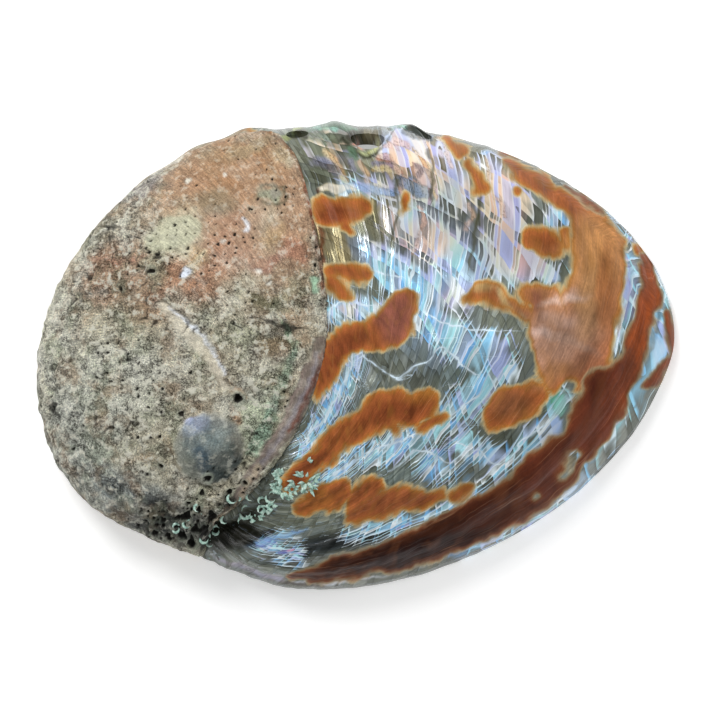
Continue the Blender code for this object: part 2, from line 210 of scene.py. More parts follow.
def growth(x, y):
    """Age and place along the lip of each point, both in degrees.

    The lip of long ago is today's lip turned back round the apex and shrunk by exp(-WIDENING * angle). The
    age is the angle by which it has to be turned back to reach the point, and the place along the lip is
    the point's own angle less that age.
    """
    degrees = np.arange(0, 360, 1.0)
    reach = round_summit(OUTLINE, degrees)
    lip_x = SUMMIT[0] + reach * np.cos(np.radians(degrees))
    lip_y = SUMMIT[1] + reach * np.sin(np.radians(degrees))
    lip_distance, lip_angle = polar_about_apex(lip_x, lip_y)
    joined = smooth_step(SUTURE_END_ANGLE, LIP_BLEND_ANGLE, lip_angle)
    lip_distance = SUTURE_END_RADIUS + (lip_distance - SUTURE_END_RADIUS) * joined
    order = np.argsort(lip_angle)
    lip_angle, lip_log = lip_angle[order], np.log(lip_distance[order])
    distance, angle = polar_about_apex(x, y)
    log_distance = np.log(np.maximum(distance, 0.5))
    age = np.full(x.shape, 360.0)
    before = np.interp(angle, lip_angle, lip_log) - log_distance
    step = 3.0
    for back in np.arange(step, 361.0, step):
        after = np.interp(angle - back, lip_angle, lip_log) - WIDENING * math.radians(back) - log_distance
        crossing = (after < 0) & (age == 360.0)
        part_way = np.clip(before / np.maximum(before - after, 1e-6), 0.0, 1.0)
        age = np.where(crossing, back - step + part_way * step, age)
        before = after
    age = np.minimum(age, angle - SUTURE_END_ANGLE)
    return age, angle - age


def whorls(x, y):
    """Lift of the spire: coils that bulge between the turns of the suture, and the round cap on the apex."""
    distance, angle = polar_about_apex(x, y)
    distance = np.maximum(distance, 0.4)
    wound = np.log(SUTURE_END_RADIUS / distance) / WIDENING
    turn = (wound - np.radians(angle - SUTURE_END_ANGLE)) / (2 * np.pi)
    coil = np.abs(np.sin(np.pi * turn)) ** WHORL_ROUNDNESS * distance * WHORL_BULGE
    fade = smooth_step(-0.05, 0.12, turn) * (1 - 0.6 * smooth_step(*WHORLS_FADE, angle))
    cap = SPIRE_CAP_HEIGHT * np.clip(1 - (distance / SPIRE_CAP_RADIUS) ** 2, 0, 1) ** 0.8
    return coil * fade + cap


def cleft(side, share, wall):
    """Depth of the cleft between last whorl and spire: steep on the crust's side, slow on the nacre's."""
    depth = CLEFT_DEPTH * smooth_step(CLEFT_START, CLEFT_END, share)
    slow = np.exp(-np.maximum(side, 0.0) / CLEFT_REACH)
    return depth * np.where(side < 0, smooth_step(-wall, 0.0, side), slow)


def lumps(x, y, size):
    """Gentle irregular lumps from -1 to 1: crossing waves whose directions and lengths never line up."""
    total = np.zeros_like(x)
    for k, turn in enumerate((0.3, 1.27, 2.2, 2.9, 3.8)):
        wave = 2 * np.pi / (size * (0.75 + 0.17 * k))
        along = x * math.cos(turn) + y * math.sin(turn)
        across = y * math.cos(turn) - x * math.sin(turn)
        total += np.sin(along * wave + 1.6 * np.sin(across * wave * 0.63 + k))
    return total / 5


def tossed(i, j, seed, factors):
    """A random value from 0 to 1 at each lattice corner i, j: the fraction of c sin(a i + b j + seed)."""
    a, b, c = factors
    return np.mod(np.sin(i * a + j * b + seed) * c, 1.0)


def mottle(x, y, size, seed=0.0):
    """Smooth noise from -1 to 1: a random value at each corner of a lattice of that size, blended between."""
    u, v = x / size, y / size
    i, j = np.floor(u), np.floor(v)
    s, t = smooth_step(0, 1, u - i), smooth_step(0, 1, v - j)
    total = 0.0
    for di in (0, 1):
        for dj in (0, 1):
            toss = tossed(i + di, j + dj, seed * SEED_STEP, TOSSES[0])
            total = total + toss * (s if di else 1 - s) * (t if dj else 1 - t)
    return 2 * total - 1


def mottles(x, y, layers):
    """Sum of several mottles, each given as its height, its size and its seed."""
    return sum(height * mottle(x, y, size, seed) for height, size, seed in layers)


def nacre_relief(x, y, side, share):
    """Lift along the normal: growth ripples, finer ridges along and across them, collars and healed holes."""
    age, along = growth(x, y)
    waver = 1.4 * lumps(x, y, RIPPLE_WAVER)
    ripple = np.sin(2 * np.pi * RIPPLES_PER_DEGREE * age + waver)
    lift = RIPPLE_HEIGHT * (ripple + 0.9 * lumps(x, y, SWELL_SIZE))
    for ridge_height, by_age, by_place, size, seed in FINE_RIDGES:
        lift += ridge_height * mottle(age * by_age, along * by_place, size, seed)
    lift = lift * smooth_step(-1.5, 0.5, side)
    start, end, away, width, height = RIDGE
    reach = smooth_step(start - 0.06, start, share) * smooth_step(end + 0.06, end, share)
    ridge = np.exp(-(((side - away) / width) ** 2))
    lift += height * reach * ridge * (1 + 0.6 * lumps(x, y, RIDGE_LUMP_SIZE))
    return lift + knobs(x, y)


def knobs(x, y):
    """Lift of the collars behind the breathing holes and of the healed holes: round humps, exp(-r^2)."""
    lift = np.zeros_like(x)
    for cx, cy, size, height in COLLARS:
        lift += height * np.exp(-(((x - cx) / size) ** 2 + ((y - cy) / (0.7 * size)) ** 2))
    for cx, cy in CLOSED_HOLES:
        lift += CLOSED_HOLE_SIZE[1] * np.exp(-((x - cx) ** 2 + (y - cy) ** 2) / CLOSED_HOLE_SIZE[0] ** 2)
    return lift


def disc_grid(columns, rows):
    """A grid squeezed into a disc: the share of the way out and the angle of each corner."""
    a, b = np.meshgrid(columns, rows)
    share = np.maximum(np.abs(a), np.abs(b))
    wide = np.abs(a) >= np.abs(b)
    long_side = np.where(wide, a, b)
    slant = 45 * np.where(wide, b, -a) / np.where(long_side == 0, 1, long_side)
    return share, slant + np.where(wide, 0, 90) + np.where(long_side < 0, 180, 0)


def dome(steps, angles, wall, top, foot):
    """Points of a dome that ends wall short of the outline: at each angle a superellipse from the summit."""
    turn = np.radians(90.0) * steps
    reach = round_summit(OUTLINE, angles) - PLAN_ALLOWANCE - wall
    out = np.sin(turn) ** (2 / PLAN_ROUNDNESS) * reach
    z = foot + (top - foot) * np.maximum(np.cos(turn), 0.0) ** (2 / round_summit(BULGE, angles))
    out = out - round_summit(TUCK, angles) * np.clip(1 - z / TUCK_HEIGHT, 0, 1) ** 2 * steps**4
    radians = np.radians(angles)
    return np.stack([SUMMIT[0] + out * np.cos(radians), SUMMIT[1] + out * np.sin(radians), z], -1)


def pointing(angles):
    """Unit vectors in plan at these angles in degrees."""
    return np.stack([np.cos(np.radians(angles)), np.sin(np.radians(angles))], -1)


def about_summit(x, y):
    """Distance from the summit, and the angle round it in degrees."""
    return np.hypot(x - SUMMIT[0], y - SUMMIT[1]), np.degrees(np.arctan2(y - SUMMIT[1], x - SUMMIT[0]))


def margin_lift(angles):
    """Height of the margin over the ground; it touches at the front, the back and the shelf's side."""
    return np.maximum(round_summit(MARGIN_LIFT, angles), 0.0)


def outward_normals(points):
    """Unit normals of a grid of points, turned so that the grid's middle faces up."""
    normal = np.cross(np.gradient(points, axis=1), np.gradient(points, axis=0))
    normal /= np.maximum(np.linalg.norm(normal, axis=-1, keepdims=True), 1e-12)
    return normal * np.sign(normal[normal.shape[0] // 2, normal.shape[1] // 2, 2])


def bare_outside(steps, angles):
    """The dome with whorls and cleft as heights, each point's place beside the old lip, and the normals."""
    points = dome(steps, angles, 0.0, HEIGHT, margin_lift(angles) + MARGIN_LIP)
    x, y = points[..., 0], points[..., 1]
    side, share = beside(lip_line, x, y)
    normal = outward_normals(points)
    points[..., 2] += (whorls(x, y) - cleft(side, share, CLEFT_WALL)) * (1 - smooth_step(*OUTER_FADE, steps))
    return points, side, share, normal


def outer_skin(steps, angles):
    """The outside of the wall with its fine relief along the normal.

    Under the crust it lies SUNK_UNDER_CRUST deeper, so that the crust sits in the wall and not on it.
    """
    points, side, share, normal = bare_outside(steps, angles)
    lift = nacre_relief(points[..., 0], points[..., 1], side, share) * (1 - smooth_step(*DETAIL_FADE, steps))
    lift -= SUNK_UNDER_CRUST * smooth_step(0.3, -1.6, side) * (1 - smooth_step(*SUNK_FADE, steps))
    return points + normal * lift[..., None]


def margin_and_shelf(angles, foot):
    """Rings from the foot inwards: the margin's flat land, then round the edge of the columellar shelf."""
    lift = margin_lift(angles)
    width = round_summit(SHELF, angles)
    wall = round_summit(WALL_AT_MARGIN, angles)
    rise = SHELF_RISE * (width - width.min())
    land = 0.5 * MARGIN_LIP
    steps_in = [
        (land * 0.3, 0.45 * MARGIN_LIP),
        (land, 0.0),
        (land + MARGIN_LAND, 0.0),
        (width - 0.6, rise + 0.5),
        (width, rise + 0.5 + 0.4 * SHELF_THICKNESS),
        (width - 0.8, rise + 0.3 + SHELF_THICKNESS),
        (wall + 0.45 * np.maximum(width - wall, 0.0), 0.6 * rise + 1.6 + SHELF_THICKNESS),
    ]
    towards = -pointing(angles)
    rings = []
    for inwards, above in steps_in:
        ring = foot.copy()
        ring[:, :2] += towards * np.broadcast_to(inwards, angles.shape)[:, None]
        ring[:, 2] = lift + above
        rings.append(ring)
    return rings


def inner_skin(steps, angles):
    """The inside, from above the shelf to the summit: a smaller dome that follows the spire and cleft."""
    wall = round_summit(WALL_AT_MARGIN, angles)
    points = dome(steps, angles, wall, HEIGHT - WALL_AT_SUMMIT, margin_lift(angles) + SHELF_ROOT)
    x, y = points[..., 0], points[..., 1]
    side, share = beside(lip_line, x, y)
    relief = 0.9 * whorls(x, y) - cleft(side, share, 2.5 * CLEFT_WALL)
    relief += 0.12 * lumps(x, y, 9.0)
    points[..., 2] += relief * (1 - smooth_step(*INNER_FADE, steps))
    return points


def rim_of(rows, columns, first):
    """Numbers of the corners on a grid's rim, once round from its first corner."""
    index = np.arange((rows + 1) * (columns + 1)).reshape(rows + 1, columns + 1) + first
    return np.concatenate([index[0, :-1], index[:-1, -1], index[-1, :0:-1], index[:0:-1, 0]])


def cells_of(rows, columns, first):
    """Four-cornered faces of a grid."""
    index = np.arange((rows + 1) * (columns + 1)).reshape(rows + 1, columns + 1) + first
    corners = index[:-1, :-1], index[:-1, 1:], index[1:, 1:], index[1:, :-1]
    return np.stack(corners, -1).reshape(-1, 4).tolist()


def band_between(ring, following):
    """Faces that join two rings of as many points."""
    return np.stack([ring, np.roll(ring, -1), np.roll(following, -1), following], -1).tolist()


def halving_band(fine, coarse):
    """Triangles that join a ring to one with half as many points."""
    before, middle, after = fine[0::2], fine[1::2], np.roll(fine, -2)[0::2]
    there = np.roll(coarse, -1)
    three = [(before, middle, coarse), (middle, there, coarse), (middle, after, there)]
    return np.concatenate([np.stack(corners, -1) for corners in three]).tolist()


def closed_piece(name, points, faces):
    """An object whose mesh is one closed skin with its faces pointing outwards."""
    mesh = bpy.data.meshes.new(name)
    room = np.array([cad_low, cad_high]) + [[BOX_GAP], [-BOX_GAP]]
    room[0, 2] = cad_low[2]
    mesh.from_pydata(np.clip(np.vstack(points) * MM, *room).tolist(), [], faces)
    form = bmesh.new()
    form.from_mesh(mesh)
    bmesh.ops.recalc_face_normals(form, faces=form.faces)
    form.to_mesh(mesh)
    form.free()
    mesh.shade_smooth()
    piece = bpy.data.objects.new(name, mesh)
    bpy.context.scene.collection.objects.link(piece)
    return piece


def closed_by_rings(name, outer, rings, inner, down, across):
    """A closed piece: a fine grid, rings that lead inwards from its rim, and a grid a quarter as fine.

    A ring with half as many points as the one before is joined to it by triangles.
    """
    points, faces = [outer], cells_of(down, across, 0)
    last, used = rim_of(down, across, 0), len(outer)
    for ring_points in rings:
        ring = np.arange(len(ring_points)) + used
        faces += band_between(last, ring) if len(ring) == len(last) else halving_band(last, ring)
        points.append(ring_points)
        last, used = ring, used + len(ring)
    faces += halving_band(last, rim_of(down // 4, across // 4, used))
    faces += cells_of(down // 4, across // 4, used)
    return closed_piece(name, points + [inner], faces)


def height_over(x, y):
    """Height of the bare dome over a plan point."""
    angle = np.degrees(math.atan2(y - SUMMIT[1], x - SUMMIT[0]))
    reach = round_summit(OUTLINE, np.array([angle]))[0]
    bulge = round_summit(BULGE, np.array([angle]))[0]
    share = min(math.hypot(x - SUMMIT[0], y - SUMMIT[1]) / reach, 0.999)
    return HEIGHT * (1 - share**PLAN_ROUNDNESS) ** (1 / bulge)


def wall_of_the_shell():
    """The whole wall: outside, margin and shelf, and inside on a grid a quarter as fine."""
    under = np.linspace(-1, CRUST_COLUMNS_END, COLUMNS_UNDER_CRUST, endpoint=False)
    columns = np.concatenate([under, np.linspace(CRUST_COLUMNS_END, 1, COLUMNS_ON_NACRE + 1)])
    rows = np.linspace(-1, 1, ROWS + 1)
    share, angles = disc_grid(columns, rows)
    outer = outer_skin(share**SPREAD, angles).reshape(-1, 3)
    across, down = len(columns) - 1, len(rows) - 1
    rim = rim_of(down, across, 0)
    rings = margin_and_shelf(angles.reshape(-1)[rim], outer[rim])
    inner_share, inner_angles = disc_grid(columns[::4], rows[::4])
    inner = inner_skin(inner_share**SPREAD, inner_angles).reshape(-1, 3)
    rings = rings[:FULL_RINGS] + [ring[::2] for ring in rings[FULL_RINGS:]]
    return closed_by_rings("abalone_shell", outer, rings, inner, down, across)


def open_breathing_holes(shell):
    """Cuts the open holes: pegs that flare outwards and lean towards the margin, taken out of the wall."""
    for number, (x, y, radius) in enumerate(HOLES):
        bpy.ops.mesh.primitive_cone_add(
            vertices=HOLE_SIDES,
            radius1=radius * (1 - HOLE_TAPER) * MM,
            radius2=radius * (1 + HOLE_TAPER) * MM,
            depth=HOLE_LENGTH * MM,
            location=(x * MM, y * MM, height_over(x, y) * MM),
            rotation=(-math.radians(HOLE_TILT), 0.0, 0.0),
        )
        peg = bpy.context.object
        modifier = shell.modifiers.new(f"hole_{number}", "BOOLEAN")
        modifier.object = peg
        modifier.operation = "DIFFERENCE"
        made = bpy.data.meshes.new_from_object(shell.evaluated_get(bpy.context.evaluated_depsgraph_get()))
        shell.modifiers.clear()
        shell.data = made
        bpy.data.objects.remove(peg)
    made.name = "abalone_shell"
    made.shade_smooth()
    made.set_sharp_from_angle(angle=math.radians(SHARP_EDGE))


# Markings are placed on the picture, in its pixels: column, row and radius.
PIXEL = 0.272
PICTURE_MIDDLE = (356.0, 355.5)
LINING_MIDDLE = (-10.0, 4.0, -30.0)
MUSCLE_SCAR = (330, 330, 62, 48, 15)
SCAR_LUMPS = (5, 6.0)
FLANK_COLOUR = "#8d9089"
OLD_RIM_COLOUR = "#978f7d"

# How far the paint strays from its strokes: pixels, size in mm, seed of the column and of the row.
NACRE_SMALL_STRAYS = [(2.2, 2.6, 15, 16), (1.0, 0.9, 18, 19)]
NACRE_STRAYS = [(4.2, 5.2, 11, 13)]
NACRE_SLANTED_STRAYS = [(1.6, 1.9, 12, 14)]
SLANT = (0.8, 0.6)

# Soft edges: from 0 to 1 between two depths, in pixels for strokes and in mm for the rest.
DRAWN_EDGE = (-1.2, 0.8)
STROKE_EDGE = (-2.0, 1.4)
PAINTED_SHEEN_EDGE = (-16.0, 8.0)
OLD_RIM_EDGE = (0.5, 2.5)
LINING_EDGE = (4.0, -4.0)
HOLE_EDGE = (0.6, -0.6)
HOLE_ROOM = 1.7
OLD_RIM_BACK = 2.0
OLD_RIM_RISE = 4.0

# The growth pattern's coordinates: mm for a degree of age, for a degree along the lip and for a mm of height.
WEAVE_SCALE = (1.25, 1.5, 0.2)
FLANK_LINES = 0.8
FLANK_FADE = (12.0, 7.0)

# Under the chips of the old crust the rim stays bare where it is painted in these pale colours: the worn
# rim's nacre, with painted highlights on it.
OLD_RIM_PAINTS = ("#dcd8cc", "#e2ddcc", "#d4d9cd", "#b9d2c4")
RUST_STROKES = [
    [(325, 211, 12), (345, 210, 13), (361, 207, 11)], [(345, 224, 7), (351, 231, 4)],
    [(405, 201, 6.5), (405, 207, 5)], [(333, 271, 8), (352, 271, 9), (368, 275, 7)],
    [(334, 285, 9), (344, 292, 6)],
    [(328, 372, 12), (335, 350, 14), (352, 338, 16), (372, 336, 17), (392, 325, 19), (401, 305, 14)],
    [(408, 296, 8), (404, 330, 10)], [(330, 362, 14), (324, 380, 11), (319, 396, 4)],
    [(290, 486, 9), (306, 470, 12), (322, 455, 12), (340, 438, 13), (360, 424, 16), (385, 411, 19),
     (410, 407, 18), (424, 406, 14)],
    [(425, 427, 5), (436, 421, 6), (444, 415, 4)], [(392, 424, 9), (398, 430, 5)],
    [(306, 508, 10), (318, 502, 13), (334, 495, 13), (345, 490, 10)],
    [(352, 505, 8), (366, 492, 12), (376, 487, 8)],
    [(352, 515, 7), (376, 508, 13), (398, 497, 11), (420, 500, 10), (440, 494, 7)],
    [(455, 499, 6), (466, 491, 6)], [(498, 414, 15), (508, 408, 20), (524, 402, 16), (534, 392, 12)],
    [(472, 299, 6), (484, 292, 9), (497, 296, 11), (503, 304, 7)],
    [(508, 303, 5), (516, 309, 8), (526, 314, 9)],
    [(532, 294, 11), (546, 298, 14), (548, 318, 20), (558, 344, 28), (566, 372, 24)],
    [(590, 225, 18), (598, 250, 24), (598, 280, 26), (590, 310, 30), (582, 340, 32), (576, 366, 24)],
    [(510, 165, 5), (522, 172, 7), (536, 181, 10), (552, 196, 9), (570, 206, 9), (584, 216, 14)],
    [(560, 192, 6), (575, 205, 8)], [(536, 239, 12), (548, 240, 15), (556, 246, 10)],
    [(567, 234, 5), (568, 246, 5)], [(517, 189, 3), (518, 190, 3)],
    [(448, 134, 3), (456, 142, 4), (462, 150, 4)], [(470, 160, 4), (476, 174, 4), (480, 190, 6)],
    [(637, 249, 4.5), (638, 254, 4)], [(598, 345, 14), (602, 368, 8)],
]
BARE_STROKES = [
    [(553, 414, 7), (560, 402, 11), (570, 392, 7), (578, 386, 2)],
    [(562, 474, 4), (568, 464, 7), (578, 452, 5)], [(535, 495, 1.5), (538, 492, 2)],
]
DARK_STROKES = [
    [(646, 262, 7), (650, 290, 8.5), (645, 322, 8.5), (633, 356, 11), (613, 394, 17), (590, 430, 20),
     (560, 462, 23), (528, 492, 21), (490, 514, 20), (450, 534, 19), (410, 549, 16), (370, 561, 13),
     (330, 571, 9), (292, 576, 5)],
    [(606, 382, 15), (597, 400, 16), (582, 422, 13), (566, 440, 10)],
    [(668, 312, 3.5), (673, 338, 4), (669, 356, 4), (656, 378, 6), (651, 386, 6)],
    [(500, 152, 1), (520, 160, 0.5)], [(566, 184, 1.5), (585, 197, 2), (600, 210, 1)],
]
# Painted highlight lines along the contours of the nacre's layers.
GLEAM_LINES = [
    [(345, 268), (362, 269), (380, 272), (400, 277)],
    [(327, 322), (331, 308), (343, 301), (356, 303), (368, 305)],
    [(362, 352), (372, 362), (385, 372), (398, 380), (405, 378)],
    [(398, 378), (415, 366), (428, 362), (437, 349), (450, 351), (465, 366), (474, 374)],
    [(352, 352), (349, 372), (340, 388), (326, 415), (309, 434)],
    [(332, 475), (352, 462), (375, 448), (398, 443), (415, 435), (432, 425), (455, 412), (478, 398),
     (490, 385)],
    [(388, 470), (400, 462), (415, 452), (432, 452), (446, 463), (456, 460), (470, 447)],
    [(460, 443), (480, 453), (490, 463), (502, 462), (520, 445), (535, 432), (550, 420)],
    [(430, 318), (450, 325), (475, 330), (500, 330)],
]
CRACK_LINES = [
    [(397, 180), (398, 205), (396, 225), (392, 248)], [(428, 150), (432, 168), (432, 185), (431, 198)],
    [(450, 130), (462, 158), (476, 186), (478, 214), (470, 262)],
]

# Soft washes over the nacre: column, row, half length, half width, turn, colour, strength. The near-black
# ovals by the cleft at columns 234 and 255 are painted shade; the pale blue one at column 372 is painted
# highlight.
NACRE_GROUND = "#90948a"
NACRE_WASHES = [
    (320, 155, 30, 35, 0, "#86876c", 0.8), (330, 163, 24, 6, 0, "#a6a3b8", 0.7),
    (372, 190, 28, 6, 5, "#b9c8dc", 0.8), (420, 155, 40, 30, 30, "#b5a283", 0.8),
    (396, 143, 14, 6, 10, "#f0cfc4", 0.9), (360, 165, 20, 8, 10, "#b8b08c", 0.7),
    (470, 175, 30, 30, 40, "#b0a384", 0.8), (496, 172, 13, 13, 30, "#9a8c63", 0.8),
    (337, 245, 18, 26, 0, "#a8996f", 0.9), (380, 210, 22, 26, 0, "#a2976f", 0.8),
    (420, 225, 34, 34, 20, "#a3a5b0", 0.7), (455, 250, 34, 30, 30, "#8e97ae", 0.75),
    (500, 235, 28, 40, 30, "#a19d90", 0.7), (375, 255, 40, 14, -20, "#93a3bd", 0.6),
    (415, 285, 26, 14, -10, "#a9bccb", 0.8), (350, 310, 26, 12, 0, "#9cb0b4", 0.8),
    (440, 340, 50, 34, -30, "#93a4b4", 0.7), (470, 375, 34, 24, 20, "#7f8c84", 0.7),
    (340, 395, 18, 50, -35, "#98a2a4", 0.6), (420, 460, 70, 20, 25, "#8a958c", 0.7),
    (505, 450, 24, 18, 30, "#6f7365", 0.7), (557, 403, 13, 13, 0, "#9fd0c4", 0.9),
    (300, 520, 40, 14, 15, "#8b8e7c", 0.6), (234, 538, 36, 16, 8, "#1d1d15", 1.0),
    (330, 545, 70, 11, 12, "#2f3438", 0.95), (255, 512, 26, 10, 35, "#34342a", 0.9),
    (600, 470, 70, 7, 42, "#a4b4bc", 0.8), (500, 540, 60, 7, 26, "#a4b4bc", 0.8),
    (430, 561, 50, 5, 15, "#9cabb4", 0.8), (262, 450, 20, 22, 45, "#8f8a86", 0.5),
    (265, 545, 18, 5, 8, "#8fb4e6", 0.9), (555, 215, 16, 12, 0, "#8c9086", 0.8),
    (545, 272, 24, 12, 10, "#878c80", 0.8), (632, 290, 9, 45, 5, "#b7b6d2", 0.8),
    (610, 215, 30, 6, -50, "#c4bfae", 0.8), (662, 330, 7, 60, 5, "#dcdcd2", 0.9),
]
# Painted sheen: the nacre is painted bright along these strokes, its iridescent colour together with painted
# highlights.
PAINTED_SHEEN_STROKES = [
    [(300, 448, 4), (318, 428, 6), (342, 392, 7), (352, 366, 8)],
    [(318, 484, 4), (350, 464, 7), (395, 446, 10), (430, 430, 12), (455, 412, 13), (480, 388, 14),
     (500, 366, 12)],
    [(398, 300, 6), (418, 312, 12), (446, 330, 16), (474, 350, 16), (500, 345, 8)],
    [(378, 272, 10), (410, 284, 16), (450, 290, 14), (480, 284, 8)],
    [(345, 186, 4), (372, 190, 7), (396, 192, 5)], [(330, 312, 6), (350, 304, 8), (374, 308, 6)],
    [(372, 252, 6), (388, 260, 8), (404, 268, 8)],
    [(404, 216, 14), (430, 236, 18), (455, 256, 18), (478, 268, 12)],
    [(398, 142, 10), (420, 160, 14), (432, 184, 12)], [(446, 150, 8), (458, 178, 10), (456, 200, 10)],
    [(492, 200, 10), (512, 218, 14), (500, 250, 16), (520, 272, 12)], [(430, 462, 12), (446, 470, 8)],
    [(420, 520, 3), (460, 506, 6), (480, 496, 6)], [(350, 534, 1), (400, 522, 5)],
    [(585, 478, 4), (545, 508, 4), (505, 530, 4), (460, 548, 3)],
    [(460, 440, 8), (480, 450, 8), (502, 460, 4)], [(524, 446, 3), (546, 426, 6), (560, 410, 6)],
    [(494, 474, 3), (516, 458, 6), (534, 446, 4)], [(648, 250, 3), (658, 275, 4), (662, 300, 4)],
    [(486, 158, 4), (500, 176, 8), (520, 200, 8)], [(556, 398, 9), (560, 406, 9)],
    [(620, 255, 5), (630, 285, 6), (628, 315, 5), (616, 340, 3)],
    [(655, 300, 6), (662, 330, 7), (655, 362, 5), (640, 390, 6), (612, 430, 6), (580, 466, 5)],
    [(575, 195, 3), (600, 220, 5), (620, 244, 5)], [(560, 208, 4), (556, 218, 5)],
    [(540, 262, 4), (556, 272, 5)], [(262, 545, 3), (280, 543, 4)], [(278, 553, 2), (292, 552, 3)],
]
WARM_WASHES = [
    (415, 165, 54, 44, 20, 1.0), (500, 200, 60, 44, 30, 0.95), (424, 240, 34, 26, 0, 0.85),
    (330, 150, 34, 30, 0, 1.0), (520, 250, 40, 34, 0, 0.8), (470, 300, 34, 20, 0, 0.6),
    (350, 310, 12, 10, 0, 0.7), (380, 222, 26, 24, 0, 0.9),
]
